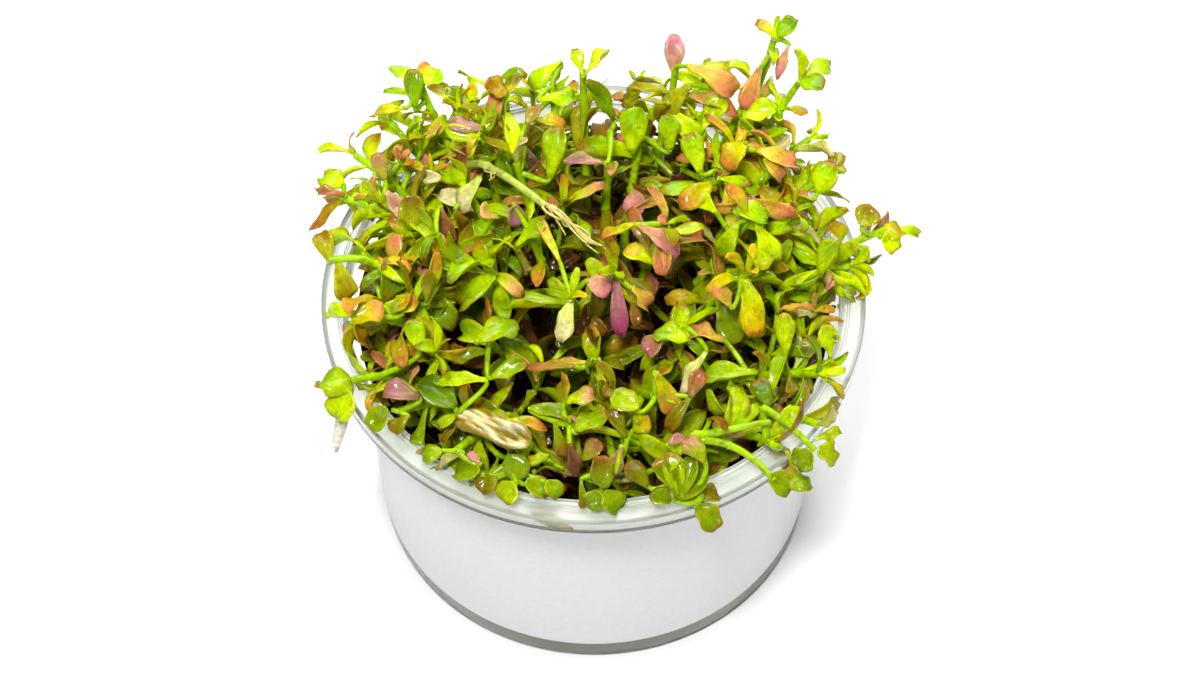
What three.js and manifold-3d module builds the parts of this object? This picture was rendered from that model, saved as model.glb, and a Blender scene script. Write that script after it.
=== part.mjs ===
// Blood red rotala: a dense clump of small-leaved shoots that stands in nutrient gel
// in a squat, clear, flanged culture cup with a blank white wrap label.
// Millimetres, +Z up. The origin is the centre of the cup's underside, and the front is -Y.
import * as THREE from 'three';
import { mergeVertices } from 'three/addons/utils/BufferGeometryUtils.js';
import Module from 'manifold-3d';

const wasm = await Module();
wasm.setup();

// Cup
const cupHeight = 62;
const rimRadius = 50;
const baseRadius = 42.4;
const wallTopRadius = 43.5;
const wallThickness = 1.0;
const floorThickness = 1.2;
const shoulderHeight = 57;
const mouthRadius = 45.2;
const flangeThickness = 1.2;
const skirtHeight = 3.4;
const skirtThickness = 0.9;
const baseRounding = 1.4;
const roundSegments = 36;

// Label, gel and undergrowth
const labelLow = 5.7;
const labelHigh = 55.5;
const labelThickness = 0.25;
const labelGap = 0.15;
const gelTop = 12;
const fitGap = 0.3;
const undergrowthProfile = [[0, 50], [14, 49], [26, 44], [33, 37.8], [40.2, 35]];

// Shoots
const stemThickness = 1.3;
const stemSteps = 4;
const nodeSpacing = 6.5;
const footSpread = 0.62;
const footRadiusLimit = 33;
const leafDepth = 0.5;
const leafGap = 0.28;
const smallestDetail = 0.008;
const degree = Math.PI / 180;

const colours = {
  lime: 0x9bcb12, green: 0x5f9a14, olive: 0x76801c, brown: 0x84502a, orange: 0xcf8038,
  yellow: 0xd3c12a, salmon: 0xd58a66, pink: 0xc4828a, mauve: 0x9c7084, bleached: 0xd9d3a4,
};

// The pale stem that arches over the middle of the clump, from its foot to its cut end.
const rootingRoute = [[-15, 11, 49.4], [-34, 34, 75.7], [-18, 6, 93.3], [1.7, -2.9, 76.8]];
const rootingSteps = 8;

// One row for each shoot: the tip, how steeply the tip points up in degrees, the pairs of leaves,
// the leaf's length, and the colour that most of its leaves have. An old leaf that stands out has
// a place of its own: how far up the stem it starts, where it ends, and its width.
const shoots = [
  // Back, from left to right
  { tip: [-38, 27, 78], rise: 35, pairs: 3, leaf: 8, hue: 'lime' },
  { tip: [-32, 31, 84], rise: 70, pairs: 3, leaf: 8, hue: 'green' },
  { tip: [-25, 28, 80], rise: 60, pairs: 3, leaf: 8, hue: 'lime' },
  { tip: [-18, 28, 86], rise: 60, pairs: 3, leaf: 8, hue: 'brown' },
  { tip: [-8, 30, 85], rise: 50, pairs: 3, leaf: 9, hue: 'lime' },
  { tip: [-2, 28, 92], rise: 82, pairs: 3, leaf: 7, hue: 'green' },
  { tip: [3, 21, 86], rise: 85, pairs: 3, leaf: 9, hue: 'olive' },
  { tip: [9, 23, 82], rise: 70, pairs: 3, leaf: 8, hue: 'green' },
  { tip: [15, 32, 88], rise: 80, pairs: 3, leaf: 9, hue: 'mauve', old: [[0.97, [15, 37, 93], 4.5]] },
  { tip: [22, 28, 86], rise: 60, pairs: 4, leaf: 9, hue: 'salmon' },
  { tip: [29, 30, 84], rise: 55, pairs: 3, leaf: 9, hue: 'brown' },
  { tip: [33, 36, 92], rise: 80, pairs: 4, leaf: 7, hue: 'green' },
  { tip: [38, 32, 84], rise: 45, pairs: 3, leaf: 8, hue: 'lime' },
  { tip: [40, 24, 77], rise: 15, pairs: 3, leaf: 8, hue: 'green' },
  { tip: [26, 19, 80], rise: 70, pairs: 3, leaf: 9, hue: 'orange' },
  { tip: [34, 17, 79], rise: 50, pairs: 3, leaf: 9, hue: 'salmon' },
  { tip: [42, 17, 74], rise: 30, pairs: 3, leaf: 8, hue: 'lime' },
  // Right
  { tip: [54, 7, 72], rise: 25, pairs: 4, leaf: 7, hue: 'green' },
  { tip: [47, 2, 67], rise: 10, pairs: 3, leaf: 8, hue: 'lime' },
  { tip: [36, 7, 76], rise: 55, pairs: 3, leaf: 8, hue: 'lime' },
  { tip: [28, 3, 80], rise: 70, pairs: 3, leaf: 11, hue: 'green' },
  { tip: [40, -5, 62], rise: 75, pairs: 3, leaf: 8, hue: 'lime' },
  { tip: [40, -22, 67], rise: 35, pairs: 4, leaf: 8, hue: 'lime' },
  { tip: [42, -35, 68], rise: 12, pairs: 4, leaf: 8, hue: 'green' },
  { tip: [36, -42, 68], rise: 0, pairs: 3, leaf: 8, hue: 'lime' },
  // Front, from right to left
  { tip: [19, -48, 66], rise: -10, pairs: 3, leaf: 8, hue: 'green' },
  { tip: [15, -41, 71], rise: 65, pairs: 4, leaf: 9, hue: 'lime' },
  { tip: [4, -43, 67], rise: 20, pairs: 3, leaf: 8, hue: 'lime' },
  { tip: [-4, -35, 70], rise: 50, pairs: 3, leaf: 8, hue: 'pink' },
  { tip: [-14, -43, 66], rise: 10, pairs: 3, leaf: 8, hue: 'lime' },
  { tip: [-25, -40, 67], rise: 15, pairs: 3, leaf: 9, hue: 'green' },
  { tip: [-24, -31, 67], rise: 45, pairs: 3, leaf: 8, hue: 'olive', old: [[0.98, [-12, -38, 70], 7.2]] },
  { tip: [-36, -32, 68], rise: 20, pairs: 3, leaf: 8, hue: 'green' },
  { tip: [-45, -26, 69], rise: 10, pairs: 3, leaf: 8, hue: 'lime', old: [[0.9, [-47, -31, 55], 2.4]] },
  // Left
  { tip: [-41, -14, 74], rise: 40, pairs: 3, leaf: 9, hue: 'orange' },
  { tip: [-48, -4, 76], rise: -15, pairs: 3, leaf: 8, hue: 'olive' },
  { tip: [-46, 9, 78], rise: 5, pairs: 3, leaf: 8, hue: 'brown', old: [[0.98, [-51, 3, 77], 4]] },
  { tip: [-44, 19, 78], rise: 25, pairs: 3, leaf: 8, hue: 'lime' },
  { tip: [-38, 8, 78], rise: 50, pairs: 4, leaf: 9, hue: 'green', old: [[0.9, [-33, 6, 79], 4]] },
  { tip: [-36, -4, 73], rise: 60, pairs: 3, leaf: 9, hue: 'green' },
  // Middle
  { tip: [-28, -1, 80], rise: 75, pairs: 3, leaf: 10, hue: 'green' },
  { tip: [-23, 8, 82], rise: 70, pairs: 3, leaf: 9, hue: 'bleached' },
  { tip: [-14, 14, 82], rise: 75, pairs: 3, leaf: 9, hue: 'mauve' },
  { tip: [-19, -7, 79], rise: 80, pairs: 3, leaf: 10, hue: 'green' },
  { tip: [-11, 0, 78], rise: 80, pairs: 3, leaf: 9, hue: 'lime' },
  { tip: [-18, -18, 72], rise: 85, pairs: 3, leaf: 9, hue: 'lime' },
  { tip: [-4, -15, 80], rise: 60, pairs: 3, leaf: 9, hue: 'lime', old: [[0.95, [-5.5, -21, 76], 4]] },
  { tip: [4, -9, 79], rise: 75, pairs: 3, leaf: 8, hue: 'pink', old: [[0.98, [5, -17, 72], 3.6]] },
  { tip: [13, -1, 83], rise: 75, pairs: 3, leaf: 8, hue: 'salmon',
    old: [[0.98, [5.5, -1.5, 83], 3.4], [0.96, [12, -9, 80], 4.6]] },
  { tip: [0, -23, 72], rise: 65, pairs: 3, leaf: 8, hue: 'orange', old: [[0.97, [-9, -24, 72.5], 3.4]] },
  { tip: [11, -28, 69], rise: 60, pairs: 3, leaf: 8, hue: 'green' },
  { tip: [16, -16, 73], rise: 75, pairs: 3, leaf: 9, hue: 'green' },
  { tip: [28, -25, 71], rise: 60, pairs: 3, leaf: 8, hue: 'lime' },
  { tip: [27, -8, 78], rise: 70, pairs: 3, leaf: 9, hue: 'yellow', old: [[0.97, [29, -17, 73], 7]] },
];

// Places in 0 to 1 that look scattered but are the same each time.
function chance(a, b, c) {
  const x = Math.sin(a * 12.9898 + b * 78.233 + c * 37.719) * 43758.5453;
  return x - Math.floor(x);
}

function spread(low, high, a, b, c) {
  return low + (high - low) * chance(a, b, c);
}

function solidFrom(geometry) {
  const bare = geometry.clone();
  bare.deleteAttribute('normal');
  bare.deleteAttribute('uv');
  const merged = mergeVertices(bare, 1e-4);
  return new wasm.Manifold(new wasm.Mesh({
    numProp: 3,
    vertProperties: new Float32Array(merged.attributes.position.array),
    triVerts: new Uint32Array(merged.index.array),
  }));
}

// A join can leave corners very close together. On a grid of the smallest detail they become one,
// and triangles that have lost a corner, or lie back to back on another, are left out.
function geometryFrom(solid) {
  const mesh = solid.getMesh();
  const snapped = mesh.vertProperties.map((value) => Math.round(value / smallestDetail) * smallestDetail);
  const geometry = new THREE.BufferGeometry();
  geometry.setAttribute('position', new THREE.BufferAttribute(snapped, 3));
  geometry.setIndex(new THREE.BufferAttribute(mesh.triVerts, 1));
  const merged = mergeVertices(geometry, smallestDetail / 10);
  const corners = merged.index.array;
  const triangles = new Map();
  for (let i = 0; i < corners.length; i += 3) {
    const triangle = [...corners.slice(i, i + 3)];
    const key = triangle.toSorted().join(' ');
    if (triangles.has(key)) triangles.delete(key);
    else if (new Set(triangle).size === 3) triangles.set(key, triangle);
  }
  merged.setIndex([...triangles.values()].flat());
  const loose = merged.toNonIndexed();
  loose.computeVertexNormals();
  return loose;
}

function turned(profile) {
  const points = profile.map(([radius, height]) => new THREE.Vector2(radius, height));
  return new THREE.LatheGeometry(points, roundSegments).rotateX(Math.PI / 2);
}

function wallRadius(height) {
  return baseRadius + (wallTopRadius - baseRadius) * height / shoulderHeight;
}

// The wall steps out at a shoulder to a wider mouth, and the flange's skirt hangs clear of it.
function makeCup() {
  const inside = wallThickness;
  const flangeUnder = cupHeight - flangeThickness;
  return turned([
    [0, 0],
    [baseRadius - baseRounding, 0],
    [wallRadius(baseRounding), baseRounding],
    [wallTopRadius, shoulderHeight],
    [mouthRadius + wallThickness, shoulderHeight + 1.4],
    [mouthRadius + wallThickness, flangeUnder],
    [rimRadius - skirtThickness, flangeUnder],
    [rimRadius - skirtThickness, cupHeight - skirtHeight],
    [rimRadius, cupHeight - skirtHeight],
    [rimRadius, cupHeight],
    [mouthRadius, cupHeight],
    [mouthRadius, shoulderHeight + 1.4],
    [wallTopRadius - inside, shoulderHeight],
    [wallRadius(baseRounding) - inside, floorThickness],
    [0, floorThickness],
  ]);
}

function makeLabel() {
  const inner = (height) => wallRadius(height) + labelGap;
  const outer = (height) => inner(height) + labelThickness;
  return turned([
    [inner(labelLow), labelLow],
    [outer(labelLow), labelLow],
    [outer(labelHigh), labelHigh],
    [inner(labelHigh), labelHigh],
    [inner(labelLow), labelLow],
  ]);
}

function makeGel() {
  const low = floorThickness + fitGap;
  const edge = (height) => wallRadius(height) - wallThickness - fitGap;
  return turned([[0, low], [edge(low), low], [edge(gelTop), gelTop], [0, gelTop]]);
}

function undergrowthTop(radius) {
  for (let i = 1; i < undergrowthProfile.length; i += 1) {
    const [r0, z0] = undergrowthProfile[i - 1];
    const [r1, z1] = undergrowthProfile[i];
    if (radius <= r1) return z0 + (z1 - z0) * (radius - r0) / (r1 - r0);
  }
  return undergrowthProfile.at(-1)[1];
}

function makeUndergrowth() {
  const low = gelTop + fitGap;
  const edge = undergrowthProfile.at(-1)[0] + 0.5;
  return turned([[0, low], [edge, low], ...undergrowthProfile.toReversed()]);
}

// A stem stands on the undergrowth, rises, and leans over to its tip.
function stemPath(shoot) {
  const tip = new THREE.Vector3(...shoot.tip);
  const reach = Math.hypot(tip.x, tip.y);
  const footShare = Math.min(shoot.foot ?? footSpread, footRadiusLimit / reach);
  const footRadius = reach * footShare;
  const footHeight = undergrowthTop(footRadius - stemThickness) + fitGap;
  const foot = new THREE.Vector3(tip.x * footShare, tip.y * footShare, footHeight);
  const outward = new THREE.Vector3(tip.x, tip.y, 0).normalize();
  const climb = tip.z - foot.z;
  const span = tip.distanceTo(foot);
  const aim = outward.multiplyScalar(Math.cos(shoot.rise * degree));
  aim.z = Math.sin(shoot.rise * degree);
  return new THREE.CubicBezierCurve3(
    foot,
    foot.clone().add(new THREE.Vector3(0, 0, climb * 0.55)),
    tip.clone().addScaledVector(aim, -span * 0.35),
    tip,
  );
}

function makeStem(path, steps) {
  const section = new THREE.Shape();
  const corner = (turn) => [
    stemThickness * 0.6 * Math.cos(turn * 120 * degree),
    stemThickness * 0.6 * Math.sin(turn * 120 * degree),
  ];
  section.moveTo(...corner(0)).lineTo(...corner(1)).lineTo(...corner(2));
  return new THREE.ExtrudeGeometry(section, { steps, extrudePath: path });
}

// A point on the straight stretches that the stem's faces follow.
function onStem(path, along) {
  const stops = path.getSpacedPoints(stemSteps);
  const step = Math.min(Math.floor(along * stemSteps), stemSteps - 1);
  return stops[step].clone().lerp(stops[step + 1], along * stemSteps - step);
}

// Leaf pair 0 is at the tip. Each pair is turned a quarter from the one above it.
function leafPlace(shoot, number, path, pair, side) {
  const length = path.getLength();
  const along = 1 - (0.6 + pair * nodeSpacing) / length;
  const base = onStem(path, along);
  const axis = path.getTangentAt(along);
  const across = new THREE.Vector3(0.31, 0.95, 0.02).cross(axis).normalize();
  const other = axis.clone().cross(across);
  const key = pair * 2 + side;
  const scatter = spread(0, 360, number, 0, 1) + spread(-22, 22, number, key, 2);
  const angle = (scatter + pair * 90 + side * 180) * degree;
  const out = across.multiplyScalar(Math.cos(angle)).addScaledVector(other, Math.sin(angle));
  const open = (38 + 16 * Math.min(pair, 3) + spread(-12, 12, number, key, 3)) * degree;
  const forward = axis.clone().multiplyScalar(Math.cos(open)).addScaledVector(out, Math.sin(open));
  const upper = axis.multiplyScalar(Math.sin(open)).addScaledVector(out, -Math.cos(open));
  const size = shoot.leaf * (pair === 0 ? 0.72 : 1) * spread(0.82, 1.15, number, key, 4);
  const roll = spread(-28, 28, number, key, 5) * degree;
  upper.applyAxisAngle(forward, roll);
  return {
    base,
    forward,
    upper,
    length: size,
    width: size * spread(0.46, 0.62, number, key, 6),
    curl: spread(0.08, 0.42, number, key, 7),
  };
}

// An old leaf lies between its node on the stem and the point where it ends.
function oldLeafPlace(path, [along, end, width]) {
  const base = onStem(path, along);
  const forward = new THREE.Vector3(...end).sub(base);
  const length = forward.length();
  forward.normalize();
  const upper = new THREE.Vector3(0, 0, 1);
  upper.addScaledVector(forward, -upper.dot(forward)).normalize();
  return { base, forward, upper, length, width, curl: 0.08 };
}

// A spoon-shaped leaf: a narrow base, two three-cornered sections and a tip, curling back.
function makeLeaf(place) {
  const { base, forward, upper, length, width, curl } = place;
  const sideways = forward.clone().cross(upper);
  const rib = (share) => base.clone()
    .addScaledVector(forward, length * share * (1 - 0.3 * curl * share))
    .addScaledVector(upper, -length * curl * share * share);
  const section = (share, half) => [
    rib(share).addScaledVector(sideways, half),
    rib(share).addScaledVector(upper, -leafDepth),
    rib(share).addScaledVector(sideways, -half),
  ];
  const points = [base, ...section(0.4, width * 0.3), ...section(0.75, width * 0.5), rib(1)];
  const corners = [];
  for (let i = 0; i < 3; i += 1) {
    const next = (i + 1) % 3;
    corners.push(0, 1 + next, 1 + i);
    corners.push(1 + i, 1 + next, 4 + next, 1 + i, 4 + next, 4 + i);
    corners.push(7, 4 + i, 4 + next);
  }
  const geometry = new THREE.BufferGeometry().setFromPoints(points);
  geometry.setIndex(corners);
  return geometry;
}

function clearOf(solid, others, gap) {
  const box = solid.boundingBox();
  return others.every((other) => {
    const room = other.boundingBox();
    const apart = [0, 1, 2].some((i) => box.min[i] > room.max[i] + gap || box.max[i] < room.min[i] - gap);
    return apart || solid.minGap(other, gap * 2) >= gap;
  });
}

function finish(hex, roughness) {
  return new THREE.MeshStandardMaterial({ color: hex, roughness, metalness: 0 });
}

const object = new THREE.Group();

function addPiece(name, geometry, material) {
  const mesh = new THREE.Mesh(geometry, material);
  mesh.name = name;
  object.add(mesh);
}

const rootingPath = new THREE.CubicBezierCurve3(...rootingRoute.map((point) => new THREE.Vector3(...point)));
const holder = [makeCup(), makeLabel(), makeGel(), makeUndergrowth(), makeStem(rootingPath, rootingSteps)];
addPiece('cup', holder[0], new THREE.MeshStandardMaterial({
  color: 0xe9eded, roughness: 0.12, metalness: 0, transparent: true, opacity: 0.35,
}));
addPiece('label', holder[1], finish(0xe8e8e8, 0.45));
addPiece('gel', holder[2], finish(0x898473, 0.3));
addPiece('undergrowth', holder[3], finish(0x33291a, 0.6));
addPiece('rooting_stem', holder[4], finish(0xb9bd7a, 0.45));

// Stems come first. A leaf is then kept only where it is clear of every other piece.
const fixedSolids = holder.map(solidFrom);
const paths = shoots.map(stemPath);
const stemSolids = paths.map((path) => solidFrom(makeStem(path, stemSteps)));
const leafSolids = shoots.map(() => []);

function othersOf(index) {
  const stems = stemSolids.filter((_, i) => i !== index);
  const leaves = leafSolids.flatMap((list, i) => (i === index ? [] : list));
  return [...fixedSolids, ...stems, ...leaves];
}

function growLeaf(index, place) {
  const leaf = solidFrom(makeLeaf(place));
  if (clearOf(leaf, othersOf(index), leafGap)) leafSolids[index].push(leaf);
}

shoots.forEach((shoot, index) => {
  for (const row of shoot.old ?? []) growLeaf(index, oldLeafPlace(paths[index], row));
});
const mostPairs = Math.max(...shoots.map((shoot) => shoot.pairs));
for (let pair = 0; pair < mostPairs; pair += 1) {
  shoots.forEach((shoot, index) => {
    if (pair >= shoot.pairs) return;
    for (const side of [0, 1]) growLeaf(index, leafPlace(shoot, index + 1, paths[index], pair, side));
  });
}

shoots.forEach((shoot, index) => {
  const whole = leafSolids[index].reduce((sum, leaf) => sum.add(leaf), stemSolids[index]);
  const name = `shoot_${String(index + 1).padStart(2, '0')}`;
  addPiece(name, geometryFrom(whole), finish(colours[shoot.hue], 0.4));
});

export default object;
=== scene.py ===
# %% [markdown]
# # Blood red rotala in its culture cup
#
# This lesson dresses a clump of rotala, a small-leaved aquarium plant that is sold growing in
# gel in a squat, clear cup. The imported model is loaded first. It is the fixed frame that every
# piece here is placed in, so nothing has to be fitted by eye afterwards.

# %% Load the frame
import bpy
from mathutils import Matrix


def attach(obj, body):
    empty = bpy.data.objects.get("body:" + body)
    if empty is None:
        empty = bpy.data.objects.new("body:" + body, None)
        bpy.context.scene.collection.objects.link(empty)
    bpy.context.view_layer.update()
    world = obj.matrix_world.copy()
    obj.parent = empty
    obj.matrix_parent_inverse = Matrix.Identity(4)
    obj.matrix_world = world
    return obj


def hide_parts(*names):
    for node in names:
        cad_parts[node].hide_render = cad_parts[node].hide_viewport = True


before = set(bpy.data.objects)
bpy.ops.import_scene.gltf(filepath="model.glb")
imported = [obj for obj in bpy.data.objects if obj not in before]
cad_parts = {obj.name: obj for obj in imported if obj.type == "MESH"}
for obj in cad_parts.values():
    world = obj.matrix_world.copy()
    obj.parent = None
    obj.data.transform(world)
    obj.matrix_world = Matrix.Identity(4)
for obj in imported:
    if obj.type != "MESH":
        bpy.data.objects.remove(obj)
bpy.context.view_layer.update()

import math

import bpy
import numpy as np
from mathutils import Vector, noise

MM = 0.001
print("nodes in the frame:", len(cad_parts))

# %% [markdown]
# ## Camera
#
# The photograph looks down steeply into the cup through a long lens, so the cup's rim is nearly
# a circle and its wall is short. A camera's aim is easiest to read as three facts: where it
# stands, how far it looks down, and its lens.

# %% Set the camera
CAMERA_AT = (2.18, -284.3, 445.95)
LOOKS_DOWN = 54.52
TURNED_LEFT = 0.2
LENS = 78.0
SENSOR = 36.0
PHOTO_WIDTH, PHOTO_HEIGHT = 1200, 675

bpy.ops.object.camera_add(
    location=[value * MM for value in CAMERA_AT],
    rotation=(math.radians(90 - LOOKS_DOWN), 0, math.radians(TURNED_LEFT)),
)
camera = bpy.context.object
camera.data.lens = LENS
camera.data.sensor_width = SENSOR
camera.data.clip_start = 0.01
bpy.context.scene.camera = camera
print("camera stands", round(camera.location.length / MM), "mm from the cup's underside")

# %% [markdown]
# ## Floor and light
#
# The cup stands on a plain, nearly white floor. Wet leaves show small, sharp glints, so the key
# light is a fairly small panel high over the front, which also drops the cup's shadow behind it.
# A second panel behind the clump lights the back leaves' edges, and a weak, low one in front
# lights the label. The pale world is dim, so the gaps between the leaves stay dark.

# %% Make the floor and the lights
FLOOR_SIZE = 4.0
ROOM_LIGHT = 0.13
# Where each panel hangs, the height on the cup's axis that it faces, its width, all in metres, and
# its watts.
PANELS = {
    "key_panel": ((-0.12, -0.32, 0.85), 0.06, 0.16, 7.6),
    "back_panel": ((0.12, 0.4, 0.7), 0.07, 0.6, 6.4),
    "label_panel": ((0.1, -0.9, 0.3), 0.04, 0.5, 1.1),
}


def hex_colour(text):
    """Turns an sRGB hex colour into the linear numbers that Blender's sockets hold."""
    parts = [int(text[i:i + 2], 16) / 255 for i in (1, 3, 5)]
    linear = [part / 12.92 if part <= 0.04045 else ((part + 0.055) / 1.055) ** 2.4 for part in parts]
    return (*linear, 1.0)


bpy.ops.object.select_all(action="DESELECT")
bpy.ops.mesh.primitive_plane_add(size=FLOOR_SIZE)
floor = bpy.context.object
floor.name = "floor"

for name, (place, aim, width, watts) in PANELS.items():
    bpy.ops.object.light_add(type="AREA", location=place)
    panel = bpy.context.object
    panel.name = name
    panel.rotation_euler = (Vector((0, 0, aim)) - Vector(place)).to_track_quat("-Z", "Y").to_euler()
    panel.data.size = width
    panel.data.energy = watts

world = bpy.data.worlds.new("pale_room")
world.use_nodes = True
world.node_tree.nodes["Background"].inputs["Color"].default_value = hex_colour("#ffffff")
world.node_tree.nodes["Background"].inputs["Strength"].default_value = ROOM_LIGHT
bpy.context.scene.world = world
bpy.context.scene.view_settings.view_transform = "Standard"

# %% [markdown]
# ## How a material is written
#
# Every material below is a few nodes in front of one Principled shader. One helper adds a node,
# sets what it is given and links what feeds it: an output, or a node, which stands for its first
# output. Patterns are sized from real millimetres: object coordinates are metres, so a pattern
# that repeats every millimetre has a scale of 1000.

# %% Define the node helper
def link(material, source, socket):
    """Links an output, or a node's first output, to a socket."""
    material.node_tree.links.new(getattr(source, "outputs", [source])[0], socket)


def add_node(material, kind, values=None, links=None, **settings):
    """Adds one node with its settings, its sockets' values and what feeds it."""
    made = material.node_tree.nodes.new("ShaderNode" + kind)
    for name, value in settings.items():
        setattr(made, name, value)
    for name, value in (values or {}).items():
        made.inputs[name].default_value = value
    for name, source in (links or {}).items():
        link(material, source, made.inputs[name])
    return made


def new_material(name, **values):
    """Starts a material and returns it with its Principled shader, which has the values set."""
    material = bpy.data.materials.new(name)
    material.use_nodes = True
    shader = material.node_tree.nodes["Principled BSDF"]
    for socket, value in values.items():
        shader.inputs[socket.replace("_", " ")].default_value = value
    return material, shader


def feed(material, shader, **sources):
    """Links outputs to the shader's sockets."""
    for socket, source in sources.items():
        link(material, source, shader.inputs[socket.replace("_", " ")])


# %% [markdown]
# ## Floor finish
#
# Matt painted board: pale, with a very faint unevenness so that it isn't a dead flat white. The
# same cloudy change between two colours also suits the label's film and the gel, so it is a
# helper, which is given the clouds' scale.

# %% Paint the floor
def cloud_colour(material, shader, scale, detail, low, high):
    """Clouds a material between two hex colours, and returns the clouds' noise."""
    place = add_node(material, "TexCoord").outputs["Object"]
    clouds = add_node(material, "TexNoise", {"Scale": scale, "Detail": detail}, {"Vector": place})
    ramp = add_node(material, "ValToRGB", links={"Fac": clouds})
    for stop, text in zip(ramp.color_ramp.elements, (low, high)):
        stop.color = hex_colour(text)
    feed(material, shader, Base_Color=ramp)
    return clouds


board, board_shader = new_material("matt_white_board", Roughness=0.8)
cloud_colour(board, board_shader, 12.0, 2.0, "#f4f4f4", "#fafafa")
floor.data.materials.append(board)
print("floor:", board.name)

# %% [markdown]
# ## The cup
#
# The cup is injection-moulded clear plastic: a straight wall with a little draft, a shoulder
# under a wider mouth, a flat flange with fine ridges, and a short skirt. Turned parts are made
# as on a lathe: the half outline is drawn once as a chain of edges and spun round the axis.

# %% Define the lathe
ROUND_STEPS = 144
SHARP_EDGE = 35
SAME_POINT = 0.00001


def spin_outline(name, outline):
    """Spins a half outline of (radius, height) in millimetres round the Z axis."""
    bpy.ops.object.select_all(action="DESELECT")
    bpy.ops.mesh.primitive_plane_add(size=1.0)
    piece = bpy.context.object
    piece.name = name
    bpy.ops.object.mode_set(mode="EDIT")
    bpy.ops.mesh.select_all(action="SELECT")
    bpy.ops.mesh.merge(type="CENTER")
    bpy.ops.transform.translate(value=(outline[0][0] * MM, 0, outline[0][1] * MM))
    for (r0, z0), (r1, z1) in zip(outline, outline[1:]):
        step = ((r1 - r0) * MM, 0, (z1 - z0) * MM)
        bpy.ops.mesh.extrude_vertices_move(TRANSFORM_OT_translate={"value": step})
    bpy.ops.mesh.select_all(action="SELECT")
    bpy.ops.mesh.spin(
        steps=ROUND_STEPS, angle=math.tau, center=(0, 0, 0), axis=(0, 0, 1), use_normal_flip=False,
    )
    bpy.ops.mesh.select_all(action="SELECT")
    bpy.ops.mesh.remove_doubles(threshold=SAME_POINT)
    bpy.ops.mesh.dissolve_degenerate(threshold=SAME_POINT / 10)
    bpy.ops.mesh.select_all(action="SELECT")
    bpy.ops.mesh.normals_make_consistent(inside=False)
    bpy.ops.object.mode_set(mode="OBJECT")
    bpy.ops.object.shade_smooth_by_angle(angle=math.radians(SHARP_EDGE))
    print(name, "faces:", len(piece.data.polygons))
    return piece


def settle(piece, material, node):
    """Gives a finished piece its material and its body, and hides the imported node that it stands for."""
    if material is not None:
        piece.data.materials.append(material)
    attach(piece, "root")
    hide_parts(node)


# %% Turn the cup
CUP_HEIGHT = 62.0
RIM = 50.0
BASE = 42.4
WALL_TOP = 43.75
WALL = 1.0
SHOULDER = 57.0
MOUTH = 45.2
FLANGE = 1.2
SKIRT = 3.4
SKIRT_WALL = 0.9
CUP_FLOOR = 1.2


def wall_radius(height):
    """The wall's outside radius in millimetres at a height, with its draft."""
    return BASE + (WALL_TOP - BASE) * height / SHOULDER


# The half outline runs out under the base, up the outside, over the flange and down the inside.
under_base = [(0.0, 0.0), (30.0, 0.0), (41.0, 0.0), (41.7, 0.25), (42.15, 0.7)]
outside_wall = [(wall_radius(height), height) for height in (1.4, 20.0, 40.0, SHOULDER)]
outside_mouth = [
    (MOUTH + 0.75, SHOULDER + 1.0), (MOUTH + 1.0, SHOULDER + 1.4), (MOUTH + 1.0, CUP_HEIGHT - FLANGE),
]
skirt = [(RIM - SKIRT_WALL, CUP_HEIGHT - drop) for drop in (FLANGE, 2.9, 3.0, SKIRT)]
skirt += [(RIM, CUP_HEIGHT - drop) for drop in (SKIRT, 3.0, 2.9, 0.7, 0.35)]
flange_top = [(RIM - 0.12, CUP_HEIGHT - 0.1)] + [(radius, CUP_HEIGHT - drop) for radius, drop in (
    (RIM - 0.4, 0), (RIM - 0.7, 0), (47.2, 0), (47.0, 0.22), (46.7, 0.22), (46.5, 0), (46.2, 0), (46.0, 0.3),
    (45.7, 0.3), (45.5, 0.05), (MOUTH + 0.1, 0.05), (MOUTH, 0.3),
)]
inside = [
    (MOUTH, SHOULDER + 1.4), (MOUTH - 0.3, SHOULDER + 1.0), (WALL_TOP - WALL, SHOULDER),
    (wall_radius(20) - WALL, 20.0), (wall_radius(3) - WALL, 3.0), (wall_radius(1.4) - WALL - 0.7, 1.4),
    (wall_radius(CUP_FLOOR) - WALL - 1.5, CUP_FLOOR), (0.0, CUP_FLOOR),
]
cup = spin_outline("clear_cup", under_base + outside_wall + outside_mouth + skirt + flange_top + inside)

# %% [markdown]
# ### Clear polypropylene
#
# Clear moulded polypropylene has an index near 1.49. It is slightly hazy, not glassy, so it
# transmits plainly with a low roughness. The dark lines that light bending through the skirt's
# lower edge, the flange's outer corner and its grooves makes are painted shade: there the plastic
# gets a dark grey tint and transmits less. Where several walls lie behind each other, as at the
# flange and the mouth, it is hazier. Two painted attributes mark those places. Its mould was
# turned, which leaves faint rings under a millimetre apart, so the bump reads each point's
# distance from the axis and its height.

# %% Mark the cup's edges
def edge_shade_mark(point):
    """Painted shade: 1 on the rings round the skirt's lower edge, less on the flange's corner and in its
    grooves.
    """
    radius, height = math.hypot(point.x, point.y) / MM, point.z / MM
    low_edge = radius > RIM - 1 and SHOULDER + 1 < height < CUP_HEIGHT - 2.95
    corner = radius > RIM - 0.5 and height > CUP_HEIGHT - 0.5
    groove = 45.6 < radius < 47.1 and CUP_HEIGHT - 0.35 < height < CUP_HEIGHT - 0.15
    return 1.0 if low_edge else 0.4 if corner else 0.25 if groove else 0.0


def mouth_mark(point):
    """1 on the flange and the mouth, less on the skirt."""
    radius, height = math.hypot(point.x, point.y) / MM, point.z / MM
    on_skirt = radius > RIM - 1 and height < CUP_HEIGHT - 0.6
    return 0.0 if radius < MOUTH - 0.1 or height < SHOULDER + 1.2 else 0.25 if on_skirt else 1.0


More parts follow.
